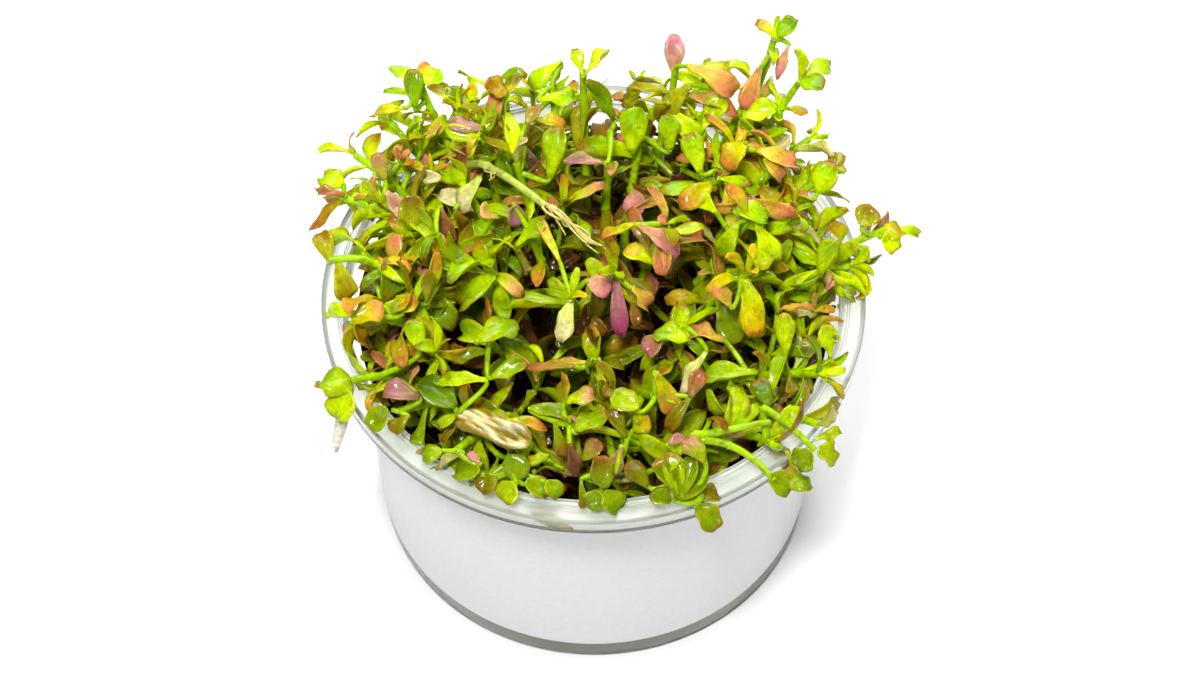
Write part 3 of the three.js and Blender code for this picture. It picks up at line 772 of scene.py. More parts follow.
# Leaves that stand out in the photograph. Each has the pixel where it starts and its height there in
# millimetres, the same for its end, its width, its colour and its outline.
SEEN_LEAVES = [
    # Back: red and brown leaves, then green ones
    (688, 66, 90, 735, 88, 88, 6.0, "salmon", "strap"), (690, 95, 86, 737, 110, 84, 4.6, "rust", "strap"),
    (690, 85, 88, 656, 118, 82, 4.6, "olive", "strap"), (760, 68, 88, 745, 107, 83, 4.4, "rust", "strap"),
    (789, 45, 92, 776, 78, 87, 2.4, "pink", "lance"), (757, 150, 82, 797, 165, 80, 5.0, "salmon", "strap"),
    (765, 160, 81, 785, 178, 78, 4.2, "salmon", "spoon"),
    (745, 143, 84, 723, 165, 81, 5.0, "orange", "spoon"), (604, 163, 84, 566, 158, 85, 3.2, "mauve", "lance"),
    (526, 124, 86, 538, 106, 88, 3.0, "umber", "lance"), (503, 97, 86, 486, 86, 88, 5.0, "brown", "spoon"),
    (535, 120, 85, 566, 122, 84, 3.6, "orange", "lance"), (614, 121, 84, 593, 82, 92, 4.2, "deep", "lance"),
    (485, 130, 84, 450, 121, 85, 3.0, "mauve", "strap"), (583, 76, 92, 575, 50, 95, 3.2, "lime", "spoon"),
    (585, 75, 92, 607, 49, 95, 3.2, "lime", "spoon"), (779, 38, 93, 795, 20, 95, 3.8, "deep", "spoon"),
    (779, 38, 93, 757, 22, 94.5, 3.0, "tipped", "strap"), (800, 82, 87, 823, 84, 88, 5.0, "deep", "spoon"),
    (632, 152, 79, 634, 112, 87, 5.4, "green", "strap"), (550, 178, 79, 556, 130, 87, 5.0, "green", "strap"),
    (540, 100, 86, 575, 94, 86, 4.0, "green", "strap"), (702, 130, 82, 722, 98, 86, 4.6, "lime", "spoon"),
    (560, 62, 88, 530, 84, 86, 4.0, "green", "spoon"), (748, 120, 82, 772, 108, 84, 4.6, "lime", "spoon"),
    (670, 150, 79, 668, 118, 85, 4.4, "green", "strap"), (700, 172, 79, 690, 135, 84, 4.6, "green", "strap"),
    # Left
    (415, 108, 82, 413, 72, 88, 4.2, "deep", "strap"), (424, 84, 85, 441, 76, 86, 4.6, "green", "spoon"),
    (404, 108, 83, 371, 114, 82, 3.6, "olive", "strap"), (345, 195, 79, 319, 190, 80, 2.6, "maroon", "strap"),
    (343, 183, 80, 321, 174, 80, 5.4, "green", "spoon"), (386, 192, 80, 402, 213, 76, 4.2, "mauve", "strap"),
    (412, 226, 77, 412, 198, 82, 5.0, "olive", "spoon"),
    (385, 180, 79.5, 377, 155, 83.5, 3.4, "umber", "strap"),
    (330, 262, 75, 321, 233, 78, 4.4, "olive", "strap"), (338, 262, 76, 346, 298, 71, 5.0, "olive", "strap"),
    (352, 322, 74, 380, 306, 76, 5.2, "orange", "strap"), (350, 330, 73, 365, 340, 70, 4.0, "brown", "spoon"),
    (404, 312, 74, 416, 300, 76, 3.6, "orange", "spoon"), (420, 398, 68, 386, 390, 69, 5.2, "mauve", "strap"),
    (350, 388, 70, 324, 374, 71, 6.4, "green", "spoon"), (350, 390, 69, 336, 418, 66, 6.0, "lime", "spoon"),
    (392, 410, 67, 374, 428, 64.5, 5.0, "green", "spoon"),
    (408, 416, 67, 392, 431, 65, 3.4, "olive", "strap"), (455, 210, 80, 466, 235, 75, 3.4, "brown", "strap"),
    (440, 208, 80, 452, 245, 74, 3.6, "maroon", "strap"),
    (480, 178, 84, 460, 209, 80, 4.6, "bleached", "strap"),
    (420, 350, 72, 412, 322, 76, 4.4, "green", "strap"),
    # Middle
    (513, 203, 83, 517, 224, 79, 3.4, "mauve", "spoon"), (515, 247, 78, 541, 220, 82, 4.6, "green", "spoon"),
    (560, 262, 79, 538, 220, 82, 2.8, "orange", "strap"), (495, 275, 78, 455, 303, 73, 6.0, "green", "strap"),
    (640, 226, 84, 678, 252, 82, 5.2, "pink", "lance"), (655, 240, 82, 668, 272, 78, 4.2, "pink", "strap"),
    (634, 224, 84, 602, 236, 83, 2.6, "orange", "strap"),
    (651, 262, 80, 627, 248, 81, 4.6, "yellow", "strap"), (588, 280, 80, 610, 290, 79, 5.0, "pink", "spoon"),
    (632, 288, 79, 652, 305, 75, 4.2, "salmon", "strap"), (737, 224, 80, 722, 258, 75, 4.6, "green", "strap"),
    (735, 212, 81, 765, 220, 80, 5.4, "green", "spoon"), (757, 225, 80, 776, 262, 75, 5.0, "lime", "strap"),
    (730, 306, 77, 718, 284, 80, 3.6, "salmon", "strap"),
    (724, 340, 73, 690, 328, 74, 4.2, "salmon", "strap"),
    (688, 340, 73, 656, 334, 73.5, 4.8, "green", "spoon"),
    (706, 352, 73, 681, 390, 69.5, 3.2, "bleached", "strap"),
    (664, 340, 72, 648, 352, 70, 4.2, "pink", "spoon"), (478, 340, 76, 514, 322, 77, 6.0, "green", "strap"),
    (486, 380, 72, 437, 378, 71, 3.8, "lime", "strap"), (491, 378, 72, 524, 362, 74, 3.8, "green", "strap"),
    (575, 366, 76, 524, 362, 74, 2.8, "salmon", "strap"),
    (755, 372, 72, 705, 376, 72.5, 5.2, "green", "strap"),
    (655, 372, 73, 676, 412, 68, 4.4, "orange", "strap"),
    (690, 398, 70, 668, 428, 66.5, 3.6, "olive", "strap"),
    (565, 402, 73, 592, 394, 74, 4.2, "blush", "strap"), (455, 408, 69, 420, 384, 70.5, 6.0, "deep", "spoon"),
    (636, 410, 72, 614, 396, 74, 4.8, "lime", "spoon"),
    # Front
    (503, 420, 70, 545, 427, 70, 3.0, "orange", "strap"), (530, 408, 71, 570, 418, 71, 4.4, "green", "strap"),
    (577, 432, 70, 605, 415, 72, 4.2, "green", "spoon"), (633, 430, 70, 648, 420, 72, 4.0, "yellow", "spoon"),
    (570, 444, 69, 576, 477, 64.5, 3.4, "maroon", "lance"),
    (621, 446, 71, 615, 475, 66.5, 3.2, "pink", "lance"),
    (705, 462, 70, 688, 438, 72.5, 4.2, "blush", "strap"),
    (515, 482, 65, 517, 457, 69, 5.0, "green", "spoon"), (442, 450, 65, 421, 455, 64, 3.6, "green", "spoon"),
    (481, 474, 65, 456, 472, 64, 4.4, "green", "spoon"),
    (497, 478, 65, 482, 491, 63.5, 4.4, "olive", "spoon"),
    (516, 484, 65, 503, 499, 63.5, 4.8, "lime", "spoon"), (524, 484, 65, 545, 494, 64, 4.6, "green", "spoon"),
    (546, 482, 65, 557, 496, 64, 3.8, "green", "spoon"), (603, 486, 66, 598, 459, 70, 4.6, "tipped", "spoon"),
    (603, 492, 65, 617, 510, 63, 5.0, "green", "spoon"),
    (600, 490, 65, 594, 507, 63.2, 4.2, "green", "spoon"),
    (677, 500, 65, 658, 463, 70, 4.6, "green", "spoon"), (678, 500, 65, 673, 456, 71, 4.4, "lime", "strap"),
    (680, 500, 65, 691, 461, 70.5, 4.6, "green", "strap"),
    (682, 500, 65, 705, 476, 68, 4.4, "green", "spoon"),
    (690, 500, 65, 718, 493, 64.5, 4.2, "olive", "strap"),
    (696, 508, 64, 716, 527, 62.8, 5.0, "green", "spoon"),
    (672, 500, 65, 652, 492, 66, 4.6, "green", "spoon"), (766, 478, 66, 787, 491, 64, 5.0, "green", "spoon"),
    (788, 485, 65, 811, 480, 65, 4.4, "green", "spoon"),
    (463, 453, 66, 438, 465, 64, 2.6, "bleached", "strap"),
    (480, 463, 66, 469, 453, 67, 2.0, "pink", "strap"),
    (571, 417, 71.5, 587, 424, 70.5, 2.4, "pink", "strap"),
    (555, 424, 71, 563, 456, 67, 2.6, "tipped", "strap"),
    (547, 455, 67, 528, 462, 66, 2.4, "yellow", "strap"),
    (581, 480, 66, 583, 509, 62.8, 1.9, "tipped", "strap"),
    (648, 486, 65, 628, 464, 68, 4.4, "olive", "strap"), (626, 438, 69, 612, 411, 72, 2.8, "olive", "strap"),
    (668, 444, 70, 683, 436, 71, 2.2, "pink", "strap"), (690, 398, 70, 700, 372, 73, 3.6, "rust", "strap"),
    # Right
    (882, 232, 73, 903, 228, 73, 5.0, "olive", "spoon"), (880, 238, 73, 893, 250, 71.5, 4.6, "lime", "spoon"),
    (862, 226, 74, 872, 209, 76, 5.0, "olive", "spoon"), (818, 192, 78, 832, 165, 82, 6.0, "green", "spoon"),
    (812, 452, 66.5, 800, 467, 65, 5.0, "green", "spoon"), (770, 405, 71, 757, 380, 73, 4.0, "deep", "strap"),
    (785, 360, 66, 785, 318, 74, 4.2, "lime", "spoon"), (830, 358, 65, 828, 328, 71, 4.0, "lime", "spoon"),
    (816, 450, 66.5, 834, 460, 65, 5.0, "lime", "spoon"), (815, 440, 67, 842, 429, 67, 2.6, "lime", "lance"),
]
# Shoots whose stem stands bare below its tip, with how far down in millimetres.
BARE = {6: 16, 7: 8}
# Leaves by chance, each by its stem's number and its own, that stand against the pale background where
# the photograph has none.
ABSENT = {
    (2, 2), (10, 0), (11, 63), (12, 66), (12, 67), (50, 2), (90, 3), (91, 0), (91, 1), (91, 70), (91, 71),
    (101, 5), (121, 0), (121, 1), (121, 2), (121, 70),
}
# Bare side stems that stand out: four pixels with their heights, from the clump outwards.
SEEN_TWIGS = [
    ((705, 440, 69), (735, 442, 68.5), (755, 458, 67), (774, 480, 65.5)),
    ((762, 407, 71), (785, 420, 70), (800, 436, 68.5), (815, 450, 66.5)),
    ((694, 434, 69), (715, 436, 70), (745, 424, 70.5), (770, 422, 70)),
]
print("shoots:", len(SHOOTS))

# %% [markdown]
# ### From a row to a stem
#
# A stem is a cubic curve: it stands on the undergrowth, rises straight up and leans over to its
# tip. Points are taken along it by length, so that leaf pairs are evenly spaced.

# %% Define the stems
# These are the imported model's own numbers, in millimetres apart from the share.
STEM_THICKNESS = 1.3
FOOT_SPREAD = 0.62
FOOT_LIMIT = 33.0
FOOT_RAISE = 0.3
NODE_SPACING = 6.5
UNDERGROWTH = ((0, 50), (14, 49), (26, 44), (33, 37.8), (40.2, 35))
CURVE_STEPS = 60


def undergrowth_top(radius):
    """The height of the undergrowth's surface at a radius, in millimetres."""
    return float(np.interp(radius, *zip(*UNDERGROWTH)))


def unit(vector):
    """A vector of length 1."""
    return vector / np.linalg.norm(vector)


def up_by(height):
    """A step straight up, in millimetres."""
    return np.array([0, 0, float(height)])


def cubic(corners):
    """Points along a cubic curve, with the share of its length at each."""
    t = np.linspace(0, 1, CURVE_STEPS + 1)[:, None]
    a, b, c, d = (np.array(corner, float) for corner in corners)
    points = a * (1 - t) ** 3 + 3 * b * (1 - t) ** 2 * t + 3 * c * (1 - t) * t ** 2 + d * t ** 3
    steps = np.linalg.norm(np.diff(points, axis=0), axis=1)
    travelled = np.concatenate([[0], np.cumsum(steps)])
    return {"points": points, "share": travelled / travelled[-1], "length": float(travelled[-1])}


def at(path, along):
    """The point and the direction at a share of a path's length."""
    def point(share):
        return np.array([np.interp(share, path["share"], path["points"][:, i]) for i in range(3)])
    return point(along), unit(point(min(1, along + 0.01)) - point(max(0, along - 0.01)))


def stem_path(tip, rise):
    """The path of a shoot's stem, from the undergrowth to its tip."""
    tip = np.array(tip, float)
    reach = math.hypot(tip[0], tip[1])
    share = min(FOOT_SPREAD, FOOT_LIMIT / reach)
    foot_height = undergrowth_top(reach * share - STEM_THICKNESS) + FOOT_RAISE
    foot = np.array([tip[0] * share, tip[1] * share, foot_height])
    steep = math.radians(rise)
    aim = np.array([tip[0] / reach * math.cos(steep), tip[1] / reach * math.cos(steep), math.sin(steep)])
    span = np.linalg.norm(tip - foot)
    return cubic([foot, foot + up_by((tip[2] - foot[2]) * 0.55), tip - aim * span * 0.35, tip])


STEM_PATHS = [stem_path(tip, rise) for tip, rise, *_ in SHOOTS]
print("longest stem:", round(max(path["length"] for path in STEM_PATHS)), "mm")

# %% [markdown]
# ### Leaf pairs
#
# Rotala's leaves stand in opposite pairs, and each pair is turned a quarter from the one above.
# Young leaves at the tip stand up; older ones open flat and curl back.

# %% Define the leaf places
def turn_about(vector, axis, angle):
    """Turns a vector about an axis of length 1."""
    return (
        vector * math.cos(angle) + np.cross(axis, vector) * math.sin(angle)
        + axis * np.dot(axis, vector) * (1 - math.cos(angle))
    )


def out_from(axis, angle):
    """The direction that leaves a stem square to its axis, at an angle round it."""
    across = unit(np.cross((0.31, 0.95, 0.02), axis))
    return across * math.cos(angle) + np.cross(axis, across) * math.sin(angle)


def upper_of(forward):
    """The direction that is square to a leaf's length and nearest to straight up."""
    return unit(np.array([0, 0, 1.0]) - forward * forward[2])


def leaf_place(path, number, pair, side, leaf_length, along):
    """Where one leaf of a pair lies. Pair 0 is at the tip."""
    base, axis = at(path, along)
    key = pair * 2 + side
    scatter = spread(0, 360, number, 0, 1) + spread(-22, 22, number, key, 2)
    out = out_from(axis, math.radians(scatter + pair * 90 + side * 180))
    opened = math.radians(38 + 16 * min(pair, 3) + spread(-12, 12, number, key, 3))
    forward = axis * math.cos(opened) + out * math.sin(opened)
    upper = axis * math.sin(opened) - out * math.cos(opened)
    size = leaf_length * (0.72 if pair == 0 else 1) * spread(0.82, 1.15, number, key, 4)
    return {
        "base": base,
        "forward": forward,
        "upper": turn_about(upper, forward, math.radians(spread(-28, 28, number, key, 5))),
        "length": size,
        "width": size * spread(0.46, 0.62, number, key, 6),
        "curl": spread(0.08, 0.42, number, key, 7),
        "age": pair,
    }


def odd_leaf_place(base, end, width, number, rank):
    """Where a leaf that stands out lies, from its base to the point where it ends. Broad ones are flatter."""
    length = np.linalg.norm(end - base)
    forward = (end - base) / length
    narrow = float(np.interp(width / length, (0.5, 0.9), (1.0, 0.5)))
    return {
        "base": base, "forward": forward, "upper": upper_of(forward), "length": length, "width": width,
        "curl": 0.08, "age": 1, "rolled": False, "broad": 1.0, "stretch": 1.06,
        "fold": spread(10, 45, number, rank, 41) * narrow,
        "twist": spread(-30, 30, number, rank, 42) * narrow,
        "buckle": spread(0.1, 0.2, number, rank, 43) * narrow,
        "depth": spread(0, 7, number, rank, 44),
    }


tip_leaf = leaf_place(STEM_PATHS[0], 1, 0, 0, SHOOTS[0][3], 1.0)
print("first tip leaf:", round(tip_leaf["length"], 1), "by", round(tip_leaf["width"], 1), "mm")

# %% [markdown]
# ### Which colour a leaf has
#
# A green shoot has mostly greens and a few stressed leaves. Any other shoot gives its own colour
# to nearly half of its leaves, and most of the rest are green. Leaves deep below the tip are old
# and get dark colours, partly their own and partly painted shade. So no shoot looks painted.

# %% Define the leaf colours
GREENS = (
    "lime", "green", "tipped", "green", "deep", "lime", "green", "tipped", "green", "lime", "blush", "green",
)
STRESSED = ("olive", "orange", "salmon", "brown", "pink", "rust", "bleached", "olive", "rust", "yellow")
# Deep leaves get these dark colours, partly their own as old leaves and partly painted shade.
LOW_OLD_AND_SHADED = ("brown", "sodden", "maroon", "dark", "olive", "plum", "rust", "brown", "maroon", "dark")
GREEN_SHARE = 0.76
OWN_HUE_SHARE = 0.45


def leaf_colour(hue, number, key, depth):
    """The name of a leaf's colour, from its shoot's colour and its depth below the tip in millimetres."""
    luck = chance(number, key, 8)
    if depth > spread(8, 19, number, key, 27):
        return pick(LOW_OLD_AND_SHADED, number, key, 9)
    if hue in ("lime", "green"):
        return pick(GREENS if luck < GREEN_SHARE else STRESSED, number, key, 10)
    if luck < OWN_HUE_SHARE:
        return hue
    return pick(GREENS + STRESSED[:3], number, key, 10)


print("colours near a green tip:", [leaf_colour("green", 1, key, 0) for key in range(4)])

# %% [markdown]
# ### How dark a leaf is
#
# Leaves deep in the clump get little light and rot in the wet, so their tints are darkened and
# browned, partly as rot and partly as painted shade. Leaves towards the front get painted shade
# too, and a leaf's underside is paler. Painted side light brightens the tints at the open sides,
# most of all at the back. The withered leaf is pale, golden at its ends and margins, with painted
# shade in its pleats' valleys and painted highlight on their ridges. All this is mixed into the
# two tints of each leaf, point by point.

# %% Define how a leaf's tints change
UNDERSIDE = np.array(hex_colour("#b4c404"))
UNDERSIDE_SHARE = 0.28
# Deep leaves turn towards this brown, partly as rot and partly as painted shade.
ROT_AND_SHADE_BROWN = np.array(hex_colour("#502c06"))
# No leaf sends back more than this share of light, so leaves brightened by painted light stay lime, not
# yellow.
BRIGHTEST = 0.72


def painted_side_light(base):
    """Painted side light on a leaf's tints: none in the middle and at the front, most at the back."""
    from_side = np.interp(math.hypot(base[0], base[1]), (26, 42), (0, 0.35))
    return float(np.interp(base[1], (-35, 5, 26), (0, 0.27, 0.6)) + from_side)


def tint_leaf(outline, place, colour, key):
    """A leaf's two tints at each point, with painted shade and light. Their alphas hold its brown rim and
    kept margins.
    """
    across, along, depth = LEAVES[outline][0].T
    tints = TINTS[colour]
    side_light = painted_side_light(place["base"])
    # The depth below the tip darkens and browns a leaf, partly as rot and partly as painted shade, less where
    # painted side light falls.
    rot_and_shade = float(np.interp(place.get("depth", 20), (3, 19), (0.0, 0.88))) * (1 - side_light)
    if outline == "withered":
        # The pleats' valleys get the gold base tint as painted shade and their ridges the cream tip tint as
        # painted highlight; the ends and margins are golden of their own.
        ends = np.clip(np.abs(2 * along - 1) * 6 - 5, 0, 1)
        golden_and_pleat_shade = 0.46 - 1.2 * pleats(across, along) + 12 * np.abs(across) ** 3 + ends
        golden_and_pleat_shade = np.clip(golden_and_pleat_shade, 0, 1)[:, None]
        under, rim, lights = 0, 0.0, (1, 1)
        tints = (tints[1] * (1 - golden_and_pleat_shade) + tints[0] * golden_and_pleat_shade,) * 2
    else:
        # Painted shade darkens leaves towards the front, and painted side light brightens those at the sides
        # and back, on top of a random tone.
        near = float(np.interp(place["base"][1], (-42, -20), (0.55, 0.98)))
        shade = spread(0.82, 1.14, *key, 15) * (1 - 0.6 * rot_and_shade) * (1.02 + 0.7 * side_light) * near
        under = (depth < 0)[:, None] * UNDERSIDE_SHARE
        rim = 0.95 * chance(*key, 35) ** 1.3
        lights = [min(shade, BRIGHTEST / tint[:3].max()) for tint in tints]
    made = []
    for tint, light, alpha in zip(tints, lights, (rim, spread(0.0, 0.7, *key, 33))):
        aged = tint * (1 - rot_and_shade) + ROT_AND_SHADE_BROWN * rot_and_shade
        made.append((aged * (1 - under) + UNDERSIDE * under * (1 - rot_and_shade)) * light)
        made[-1][:, 3] = alpha
    return made


print("daylight at the front and at the back:", painted_side_light((0, -35)), painted_side_light((0, 30)))

# %% [markdown]
# ### Building one shoot
#
# A stem is a curve with thickness, which Blender turns into a mesh. It swells a little at each
# node, so the curve's radius is set point by point. The leaves are one mesh made from copies of
# the templates. The two are then joined, and each part keeps its own tissue.

# %% Define how a mesh is tinted and mapped
def tint_points(mesh, base_tints, tip_tints):
    """Stores two tints, for each point or for all, as colour attributes."""
    for name, tints in (("base_tint", base_tints), ("tip_tint", tip_tints)):
        layer = mesh.color_attributes.new(name, "FLOAT_COLOR", "POINT")
        every = np.broadcast_to(tints, (len(mesh.vertices), 4))
        layer.data.foreach_set("color", every.astype(np.float32).ravel())


def map_points(mesh, places):
    """Gives a mesh one UV map, with each point's place at all corners that share the point."""
    while mesh.uv_layers:
        mesh.uv_layers.remove(mesh.uv_layers[0])
    corners = np.empty(len(mesh.loops), dtype=np.int32)
    mesh.loops.foreach_get("vertex_index", corners)
    layer = mesh.uv_layers.new(name="UVMap")
    layer.data.foreach_set("uv", np.asarray(places)[corners].astype(np.float32).ravel())


def join_pieces(name, pieces):
    """Joins pieces into the first and names it."""
    bpy.ops.object.select_all(action="DESELECT")
    for piece in pieces:
        piece.select_set(True)
    bpy.context.view_layer.objects.active = pieces[0]
    bpy.ops.object.join()
    joined = bpy.context.object
    joined.name = name
    joined.data.name = name
    return joined


# %% Define the leaf builder
def build_leaves(name, leaves, material):
    """Makes one mesh of many leaves: each is its outline, its place, its colour and its key."""
    points, faces, places, base_tints, tip_tints = [], [], [], [], []
    start = 0
    for outline, place, colour, key in leaves:
        template, template_faces = LEAVES[outline]
        points.append(bend_leaf(outline, place, key) * MM)
        faces += [tuple(start + corner for corner in face) for face in template_faces]
        places.append(template[:, :2] + (0.5, 0))
        for tints, tint in zip((base_tints, tip_tints), tint_leaf(outline, place, colour, key)):
            tints.append(tint)
        start += len(template)
    mesh = bpy.data.meshes.new(name)
    mesh.from_pydata(np.concatenate(points).tolist(), [], faces)
    map_points(mesh, np.concatenate(places))
    tint_points(mesh, np.concatenate(base_tints), np.concatenate(tip_tints))
    mesh.polygons.foreach_set("use_smooth", [True] * len(mesh.polygons))
    mesh.materials.append(material)
    piece = bpy.data.objects.new(name, mesh)
    bpy.context.collection.objects.link(piece)
    return piece


# %% Define the stem builder
RINGS_ALONG = 13
FOOT_WIDTH, TIP_LOSS = 1.05, 0.3
SWELLING = 1.28
NODE_HALF = 0.02
# The map's V starts at the first height and runs up by the second, in millimetres.
MAP_FROM, MAP_RUN = 45, 45
# Stems have hardly any brown rim.
STEM_RIM = 0.1


def build_stems(name, stems, colour, material):
    """Makes one mesh of several stems: each is its path, its thickness and its nodes' places."""
    curve = bpy.data.curves.new(name, "CURVE")
    curve.dimensions = "3D"
    curve.bevel_depth = 1.0
    curve.bevel_resolution = 2
    curve.use_fill_caps = True
    for path, thickness, nodes in stems:
        round_nodes = [
            [node - NODE_HALF, node, node + NODE_HALF] for node in nodes if 0.03 < node < 0.97
        ]
        shares = np.unique(np.round(np.concatenate([np.linspace(0, 1, RINGS_ALONG)] + round_nodes), 4))
        spline = curve.splines.new("POLY")
        spline.points.add(len(shares) - 1)
        for point, share in zip(spline.points, shares):
            place, _ = at(path, share)
            swelling = SWELLING if any(abs(share - node) < 0.005 for node in nodes) else 1.0
            taper = FOOT_WIDTH - TIP_LOSS * share
            point.co = (*(place * MM), 1)
            point.radius = thickness / 2 * MM * swelling * taper
    piece = bpy.data.objects.new(name, curve)
    bpy.context.collection.objects.link(piece)
    bpy.ops.object.select_all(action="DESELECT")
    piece.select_set(True)
    bpy.context.view_layer.objects.active = piece
    bpy.ops.object.convert(target="MESH")
    piece = bpy.context.object
    mesh = piece.data
    places = np.array([vertex.co[:] for vertex in mesh.vertices]) / MM
    for vertex, place in zip(mesh.vertices, keep_clear(places)):
        vertex.co = place * MM
    heights = np.array([vertex.co.z for vertex in mesh.vertices])
    turns = np.array([math.atan2(vertex.normal.y, vertex.normal.x) for vertex in mesh.vertices])
    up = np.clip((heights / MM - MAP_FROM) / MAP_RUN, 0, 1)
    map_points(mesh, np.stack([turns / math.tau + 0.5, up], axis=1))
    tint_points(mesh, *(TINTS[colour] * np.array((1, 1, 1, STEM_RIM))))
    mesh.polygons.foreach_set("use_smooth", [True] * len(mesh.polygons))
    mesh.materials.clear()
    mesh.materials.append(material)
    return piece


print("a stem tapers from", FOOT_WIDTH, "to", FOOT_WIDTH - TIP_LOSS, "of its thickness")

# %% [markdown]
# ### Side shoots
#
# Between its main leaves a rotala stem throws short side shoots with smaller leaves, and those
# fill the clump. They leave the middle of the stem, arch out and up, and end inside the canopy.
# From the foot of an outer stem one or two more go out to the wall and climb it. A stem may end
# short of its path, at its last leaf, so paths can also be cut.

# %% Define the side shoots
SIDE_LIMIT = 40.0
WALL_REACH = 40.8
BACK_CLIMB = 8


def side_path(path, number, branch):
    """A short path that leaves the main stem sideways and turns up."""
    start, axis = at(path, spread(0.35, 0.85, number, branch, 21))
    out = out_from(axis, spread(0, math.tau, number, branch, 22))
    reach = spread(6, 12, number, branch, 23)
    climb = spread(4, 10, number, branch, 24)
    end = start + out * reach + up_by(climb)
    radius = math.hypot(end[0], end[1])
    if radius > SIDE_LIMIT:
        end[:2] *= SIDE_LIMIT / radius
    return cubic([start, start + out * reach * 0.4 + axis * 1.5, end - up_by(climb * 0.5), end])


def wall_path(path, number, branch):
    """A path from the stem's foot out to the cup's wall and up along it, higher at the back."""
    start, _ = at(path, 0.03)
    round_angle = math.atan2(start[1], start[0]) + spread(-0.32, 0.32, number, branch, 28)
    outward = np.array([math.cos(round_angle), math.sin(round_angle), 0])
    rise = BACK_CLIMB if start[1] > 12 else 0
    top = outward * (WALL_REACH + rise * 0.4) + up_by(spread(54, 63, number, branch, 29) + rise)
    low = outward * 36.5 + up_by(start[2] + 2)
    return cubic([start, low, outward * 41.5 + up_by(start[2] + 9), top])


def share_near(path, point):
    """The share of a path that is nearest to a point."""
    return float(path["share"][np.linalg.norm(path["points"] - point, axis=1).argmin()])


def shortened(path, share):
    """The first share of a path, as a path of its own."""
    shares = np.linspace(0, share, CURVE_STEPS + 1)
    points = np.array([at(path, along)[0] for along in shares])
    return {"points": points, "share": shares / share, "length": path["length"] * share}


def ended(path, leaves):
    """A side stem that ends at its last leaf."""
    return shortened(path, min(1.0, max(share_near(path, place["base"]) for _, place, _, _ in leaves) + 0.02))


print("first side shoot:", round(side_path(STEM_PATHS[0], 1, 0)["length"], 1), "mm")

# %% [markdown]
# ## Leaves that stand out
#
# A pixel of the photograph and a height give one place: the line of sight through the pixel is
# followed down from the camera to that height. Each leaf that stands out is placed in this way,
# and so are the bare side stems. Each then belongs to the shoot whose stem comes nearest.

# %% Place the leaves that stand out
def seen_at(across, down, height):
    """The place in millimetres that a pixel of the photograph shows, at a known height."""
    step = SENSOR / LENS / PHOTO_WIDTH
    right, up = (across - PHOTO_WIDTH / 2) * step, (PHOTO_HEIGHT / 2 - down) * step
    sight = camera.matrix_world.to_3x3() @ Vector((right, up, -1.0))
    share = (height - CAMERA_AT[2]) / sight.z
    return np.array(CAMERA_AT) + np.array(sight) * share


def nearest_stem(base):
    """The shoot whose stem comes nearest to a leaf's base from below, and how far up the stem that is."""
    best = (1e9, 0, 0.0)
    for number, path in enumerate(STEM_PATHS):
        for share in (0.45, 0.6, 0.75, 0.9, 0.97):
            point, _ = at(path, share)
            gap = np.linalg.norm(base - point) + max(0.0, point[2] - base[2]) * 3
            best = min(best, (gap, number, share))
    return best[1], best[2]


bpy.context.view_layer.update()
odd_leaves = [[] for _ in SHOOTS]
odd_twigs = [[] for _ in SHOOTS]
for corners in SEEN_TWIGS:
    twig = cubic([seen_at(*corner) for corner in corners])
    number, along = nearest_stem(twig["points"][0])
    odd_twigs[number].append((along, twig))
for number, rows in OLD_LEAVES.items():
    for along, end, width, colour, outline in rows:
        odd_leaves[number - 1].append((along, None, np.array(end, float), width, colour, outline))
for u0, v0, z0, u1, v1, z1, width, colour, outline in SEEN_LEAVES:
    base, end = seen_at(u0, v0, z0), seen_at(u1, v1, z1)
    number, along = nearest_stem(base)
    odd_leaves[number].append((along, base, end, width, colour, outline))
print("leaves that stand out:", sum(len(rows) for rows in odd_leaves))

# %% [markdown]
# ### Leaves that chance must leave out
#
# A leaf by chance is left out where it would cover one that stands out, or lie over the loose
# rooting stem, or sit on a bare one. Others are thinned out at the front and at the back, where
# the clump has gaps.

# %% Define which leaves are left out
ROOTING_ROUTE = ((-15, 11, 49.4), (-34, 34, 75.7), (-18, 6, 93.3), (1.7, -2.9, 76.8))
ROOTING_ROOM = 3.7
FRONT, FRONT_THINNING = -22, 0.55
BACK, BACK_THINNING = 18, 0.2
# How far back a leaf seems to lie for each millimetre that it is higher, as the camera looks down.
SLANT = 0.7
rooting_path = cubic(ROOTING_ROUTE)

# Each line runs from a base to an end, with the room that it needs to each side, in millimetres.
ODD_LINES = [
    (at(path, along)[0] if base is None else base, end, width * 0.5 + 0.3)
    for path, rows in zip(STEM_PATHS, odd_leaves) for along, base, end, width, _, _ in rows
]
ODD_LINES += [
    (at(rooting_path, low)[0], at(rooting_path, low + 0.12)[0], ROOTING_ROOM)
    for low in (0.46, 0.58, 0.70, 0.80)
]


def on_twig(base):
    """True when a leaf starts on one of the bare side stems."""
    return any(
        np.linalg.norm(twig["points"] - base, axis=1).min() < 4.0 for twigs in odd_twigs for _, twig in twigs
    )


def crowds(place):
    """True when a leaf's middle or tip would cover one of the leaves that stand out, seen from the camera."""
    for share in (0.55, 1.0):
        point = place["base"] + place["forward"] * place["length"] * share
        for start, end, room in ODD_LINES:
            line = end - start
            nearest = start + line * min(1, max(0.3, np.dot(point - start, line) / np.dot(line, line)))
            across, deep, above = point - nearest
            if math.hypot(across, deep + above * SLANT) < room and -1.2 < above < 8:
                return True
    return False


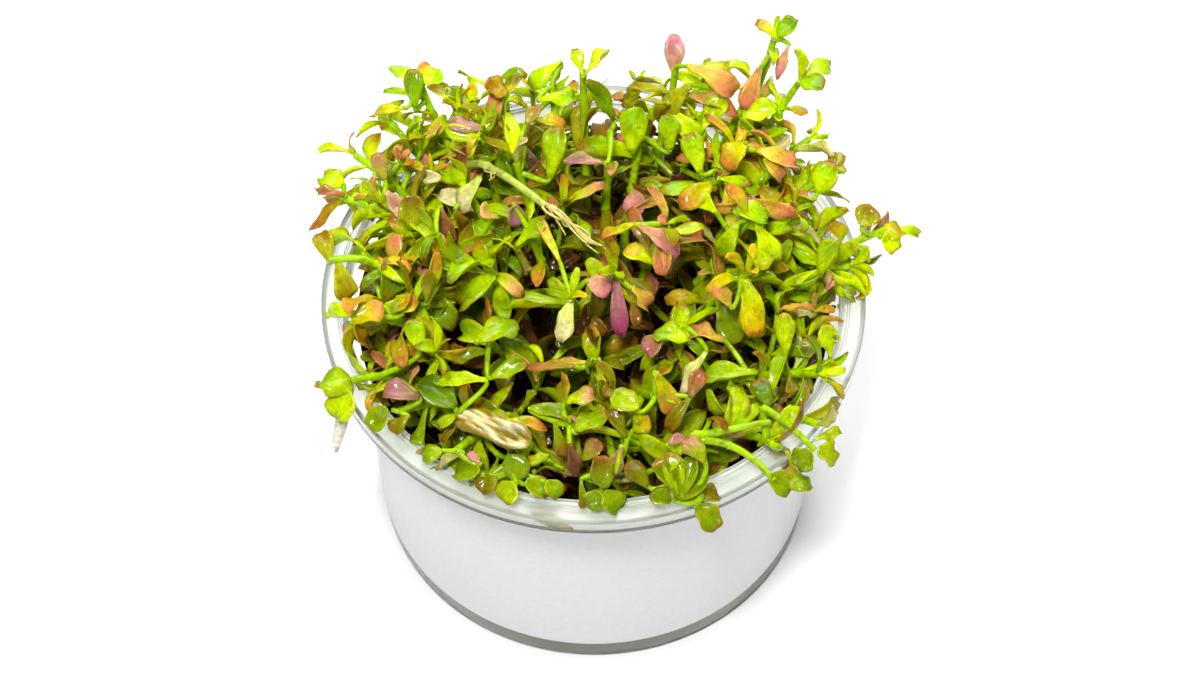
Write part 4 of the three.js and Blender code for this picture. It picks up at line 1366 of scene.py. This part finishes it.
def left_out(place, code, key):
    """True for a leaf that crowds another, sits on a bare stem, or fills a gap at the front or the back."""
    luck = chance(code, key, 51)
    far = place["base"][1]
    thinned = far < FRONT and luck < FRONT_THINNING or far > BACK and luck < BACK_THINNING
    return thinned or (code, key) in ABSENT or place["depth"] < BARE.get(code, 0) or crowds(place)


print("lines to keep free:", len(ODD_LINES))

# %% [markdown]
# ## Growing the shoots
#
# Every stem gets a bud of small, upright leaves and then pair after pair, down to the lowest. The
# main stems have smaller leaves half way between their pairs too. A leaf that stands out hangs
# on a thin twig from its shoot. A stem ends where the last thing that it carries is.

# %% Define how a stem is covered in leaves
TIP_GAP = 0.6
BUD_UPRIGHT = 1.6
BUD_TURN = 1.5
BUD_KEY = 70
BETWEEN_KEY = 60
BETWEEN_CODE = 300


def pair_share(path, down):
    """The share of a path where a leaf pair stands, so many millimetres down from the uppermost."""
    return 1 - (TIP_GAP + down) / path["length"]


def turn_into_bud(place, axis):
    """Makes a leaf of the bud smaller and stands it up along the stem's axis."""
    tilt = unit(place["forward"] + axis * BUD_UPRIGHT)
    upper = unit(np.cross(np.cross(place["forward"], place["upper"]), tilt))
    place["forward"] = turn_about(tilt, axis, BUD_TURN)
    place["upper"] = turn_about(upper, axis, BUD_TURN)
    place["length"] *= 0.8
    place["width"] *= 0.75


def grow_leaves(path, code, leaf_length, hue, spacing, pairs, lowest, top):
    """All leaves on one stem: a bud of small upright leaves, then pair after pair down to the lowest."""
    leaves = []
    for step in range(-1, pairs):
        pair = max(step, 0)
        along = pair_share(path, pair * spacing)
        if along < lowest:
            break
        for side in (0, 1):
            key = pair * 2 + side if step >= 0 else BUD_KEY + side
            place = leaf_place(path, code, pair, side, leaf_length, along)
            if step < 0:
                turn_into_bud(place, at(path, 0.99)[1])
            # Painted side light makes a leaf count as less deep, so it gets fewer dark colours and less
            # painted shade.
            place["depth"] = (top - place["base"][2]) * (1 - 0.5 * painted_side_light(place["base"]))
            colour = leaf_colour(hue, code, key, place["depth"])
            outline = pick(("spoon", "strap", "spoon", "strap", "lance"), code, key, 16)
            if not left_out(place, code, key):
                leaves.append((outline, place, colour, (code, key)))
    return leaves


def extra_pairs(path, code, leaf_length, hue, top):
    """Smaller leaves half way between the main pairs, near the tip."""
    leaves = []
    for step in (0.5, 1.5):
        for side in (0, 1):
            key = BETWEEN_KEY + int(step * 2) * 2 + side
            along = pair_share(path, step * NODE_SPACING)
            place = leaf_place(path, code + BETWEEN_CODE, step, side, leaf_length * 0.9, along)
            place["depth"] = top - place["base"][2]
            colour = leaf_colour(hue, code, key, place["depth"])
            if not left_out(place, code, key):
                leaves.append((pick(("spoon", "strap", "lance"), code, key, 16), place, colour, (code, key)))
    return leaves


print("pairs stand at", [round(pair_share(STEM_PATHS[0], pair * NODE_SPACING), 2) for pair in range(3)])

# %% Define the side stems of a shoot
TWIG_SPACING, TWIG_THICKNESS = 4.2, 1.1
CLIMBER_SPACING, CLIMBER_THICKNESS = 4.6, 1.2
CLIMBER_LEAF = 7
CLIMBER_TOP = 70


def side_stems(path, number, tip, leaf_length, hue, branches):
    """The side shoots and climbers of one shoot that have leaves, with those leaves and their starts."""
    stems, leaves, starts = [], [], []
    for branch in range(branches):
        twig = side_path(path, number, branch)
        grown = grow_leaves(twig, number * 10 + branch, leaf_length, hue, TWIG_SPACING, 3, 0.1, tip[2])
        if grown:
            starts.append(share_near(path, twig["points"][0]))
            stems.append((ended(twig, grown), TWIG_THICKNESS, [0.5]))
            leaves += grown
    if math.hypot(tip[0], tip[1]) > 34 or tip[1] > 24:
        for branch in (5,) if tip[1] < -25 else (5, 6):
            climber = wall_path(path, number, branch)
            grown = grow_leaves(
                climber, number * 10 + branch, CLIMBER_LEAF, "green", CLIMBER_SPACING, 5, 0.2, CLIMBER_TOP,
            )
            if grown:
                stems.append((ended(climber, grown), CLIMBER_THICKNESS, [0.35, 0.5, 0.65, 0.8]))
                leaves += grown
    return stems, leaves, starts


def odd_parts(path, number):
    """The leaves and bare stems of one shoot that stand out, with the twigs that they hang on."""
    stems, leaves = [], []
    for rank, (along, base, end, width, colour, outline) in enumerate(odd_leaves[number - 1]):
        start, axis = at(path, along)
        if base is not None and not on_twig(base):
            gap = np.linalg.norm(base - start)
            arrival = (unit(end - base) + (0, 0, 1)) * min(gap * 0.25, 1.6)
            route = [start, start + axis * min(gap * 0.4, 3), base - arrival, base]
            stems.append((cubic(route), TWIG_THICKNESS, []))
        place = odd_leaf_place(start if base is None else base, end, width, number, rank)
        if outline == "spoon" and width > place["length"] * 0.72:
            outline = "round"
        leaves.append((outline, place, colour, (number, 90 + rank)))
    for along, twig in odd_twigs[number - 1]:
        start, axis = at(path, along)
        arrival = twig["points"][0]
        route = [start, start + axis * 2, arrival - (arrival - start) * 0.3, arrival]
        stems += [(cubic(route), 1.4, []), (twig, 1.4, [0.3, 0.65, 0.95])]
    return stems, leaves


# One torn leaf of a front shoot is caught under the flange, between the wall and the skirt, so it
# isn't moved clear of the cup as the others are.
CAUGHT_BY = 29
CAUGHT_FROM, CAUGHT_TO = np.array((-10.5, -46.9, 59.6)), np.array((-3.2, -48.9, 59.4))
CAUGHT_LEAF = odd_leaf_place(CAUGHT_FROM, CAUGHT_TO, 2.2, CAUGHT_BY, 99)
CAUGHT_LEAF.update({"caught": True, "fold": 0, "twist": 0, "buckle": 0.05, "stretch": 1.0, "age": 0})
print("caught leaf:", round(CAUGHT_LEAF["length"], 1), "mm long")

# %% Grow every shoot
OUTER_TIP = 30
# A main stem is never cut shorter than this share of its path.
LEAST_STEM = 0.4
MAIN_THICKNESS = 1.8

leaf_total = 0
for number, (tip, rise, pairs, leaf_length, hue) in enumerate(SHOOTS, start=1):
    path = STEM_PATHS[number - 1]
    nodes = [pair_share(path, pair * NODE_SPACING) for pair in range(pairs + 3)]
    # Outer shoots have three pairs and three side shoots more, inner ones one pair, and half of them
    # one side shoot.
    more_pairs, branches = (3, 3) if math.hypot(tip[0], tip[1]) > OUTER_TIP else (1, number % 2)
    leaves = grow_leaves(path, number, leaf_length, hue, NODE_SPACING, pairs + more_pairs, 0.05, tip[2])
    leaves += extra_pairs(path, number, leaf_length, hue, tip[2])
    carried = [LEAST_STEM] + [row[0] for row in odd_leaves[number - 1] + odd_twigs[number - 1]]
    carried += [share_near(path, place["base"]) for _, place, _, _ in leaves]
    stems, more_leaves, starts = side_stems(path, number, tip, leaf_length, hue, branches)
    top_share = min(1.0, max(carried + starts) + 0.01)
    main_nodes = [node / top_share for node in nodes if node < top_share]
    stems.append((shortened(path, top_share), MAIN_THICKNESS, main_nodes))
    odd_stems, own_leaves = odd_parts(path, number)
    stems += odd_stems
    leaves += more_leaves + own_leaves
    if number == CAUGHT_BY:
        leaves.append(("lance", CAUGHT_LEAF, "yellow", (number, 99)))
    leaf_total += len(leaves)
    name = f"rotala_shoot_{number:02d}"
    stem_mesh = build_stems(name + "_stems", stems, "stem", stem_tissue)
    leaf_mesh = build_leaves(name + "_leaves", leaves, leaf_tissue)
    settle(join_pieces(name, [leaf_mesh, stem_mesh]), None, f"shoot_{number:02d}")
print("leaves on the shoots:", leaf_total)

# %% [markdown]
# ## The undergrowth
#
# Below the green canopy the cup is packed with old leaves and stems that have gone brown, plum
# and olive in the wet, and their tints are darkened further with painted shade. The mass is a
# lumpy dark body, and its surface is covered with sodden leaves that lie every way.

# %% Shape the undergrowth's dark core
CORE_OUTLINE = [
    (0.0, 12.4), (40.4, 12.4), (39.9, 33.0), (33.0, 36.0), (25.5, 42.0), (13.8, 47.0), (0.0, 48.0),
]
CORE_FOOT = 13.0
CORE_MAP = 6

core = spin_outline("undergrowth_core", CORE_OUTLINE)
for vertex in core.data.vertices:
    if vertex.co.z > CORE_FOOT * MM:
        vertex.co.z += (noise.noise(vertex.co * 260) * 1.6 - 1.0) * MM
core.data.materials.append(old_tissue)
core_places = [(vertex.co.x / MM / CORE_MAP, vertex.co.y / MM / CORE_MAP) for vertex in core.data.vertices]
map_points(core.data, core_places)
# The core's dark and plum tints are partly old leaves' colour and partly painted shade.
tint_points(core.data, *(np.array((TINTS["dark"][0], TINTS["plum"][1])) * (1, 1, 1, 0)))

# %% Cover it with sodden leaves
OLD_COUNT = 720
LITTER_RADIUS = 40.0
LITTER_LIMIT = 40.5
GOLDEN_ANGLE = 2.399963
# The litter's dark colours are partly its own and partly painted shade, and the painted shade of deep leaves
# darkens it further.
LITTER_COLOURS = ("dark", "sodden", "plum", "dark", "brown", "sodden", "deep", "plum")

litter_leaves = []
for number in range(1, OLD_COUNT + 1):
    radius = LITTER_RADIUS * ((number - 0.5) / OLD_COUNT) ** 0.42
    angle = number * GOLDEN_ANGLE
    highest = float(np.interp(radius, (26, 38), (0, 14)))
    height = undergrowth_top(radius) + spread(-3.0, highest, number, 1, 31)
    turn = spread(0, math.tau, number, 2, 31)
    tilt = math.radians(spread(-35, 30, number, 3, 31))
    forward = np.array([math.cos(turn) * math.cos(tilt), math.sin(turn) * math.cos(tilt), math.sin(tilt)])
    base = np.array([radius * math.cos(angle), radius * math.sin(angle), height])
    length = spread(5.5, 9.5, number, 4, 31)
    end = base + forward * length
    if math.hypot(end[0], end[1]) > LITTER_LIMIT:
        forward[:2] *= -1
    place = {
        "base": base, "forward": forward, "length": length,
        "upper": turn_about(upper_of(forward), forward, spread(-0.9, 0.9, number, 5, 31)),
        "width": length * spread(0.4, 0.6, number, 6, 31), "curl": spread(0.05, 0.5, number, 7, 31),
        "fold": spread(0, 60, number, 8, 31),
    }
    outline = pick(("spoon", "strap", "lance"), number, 10, 31)
    litter_leaves.append((outline, place, pick(LITTER_COLOURS, number, 9, 31), (number, 200)))
litter = build_leaves("undergrowth_leaves", litter_leaves, old_tissue)
settle(join_pieces("old_undergrowth", [litter, core]), None, "undergrowth")
print("old leaves:", OLD_COUNT)

# %% [markdown]
# ## The rooting stem
#
# One pale stem has come loose from the canopy. It arches over the middle and ends in a few fine
# cream roots, which trail from its last nodes.

# %% Lay the rooting stem
LAST_NODE = 0.8
ROOT_COUNT = 12
# Two roots in three start at the last node and one at the node before it, where they are shorter.
ROOT_STARTS = (0.79, 0.8, 0.58)

rooting_stem = [(shortened(rooting_path, LAST_NODE), MAIN_THICKNESS, [0.5, 0.72, 0.97])]
runner = build_stems("rooting_stem_core", rooting_stem, "pale_stem", stem_tissue)
roots = []
for number in range(1, ROOT_COUNT + 1):
    start, axis = at(rooting_path, ROOT_STARTS[number % 3])
    reach = spread(*((5, 13) if number % 3 < 2 else (2, 4)), number, 3, 41)
    sway, wave = (
        np.array([spread(low, high, number, code, 41) for low, high, code in limits]) for limits in (
            ((-2.2, 2.6, 1), (-2.6, 2.2, 2), (-1, 1, 4)), ((-3.6, 3.6, 5), (-3.6, 3.6, 6), (0, 1.8, 7)),
        )
    )
    bends = [start + axis * reach * 0.35 + wave, start + axis * reach * 0.7 - wave + sway * 0.7]
    root = cubic([start, *bends, start + axis * reach + sway])
    roots.append((root, spread(0.3, 0.55, number, 8, 41), []))
root_mesh = build_stems("rooting_stem_roots", roots, "root", stem_tissue)
settle(join_pieces("pale_rooting_stem", [runner, root_mesh]), None, "rooting_stem")
print("roots:", len(roots))
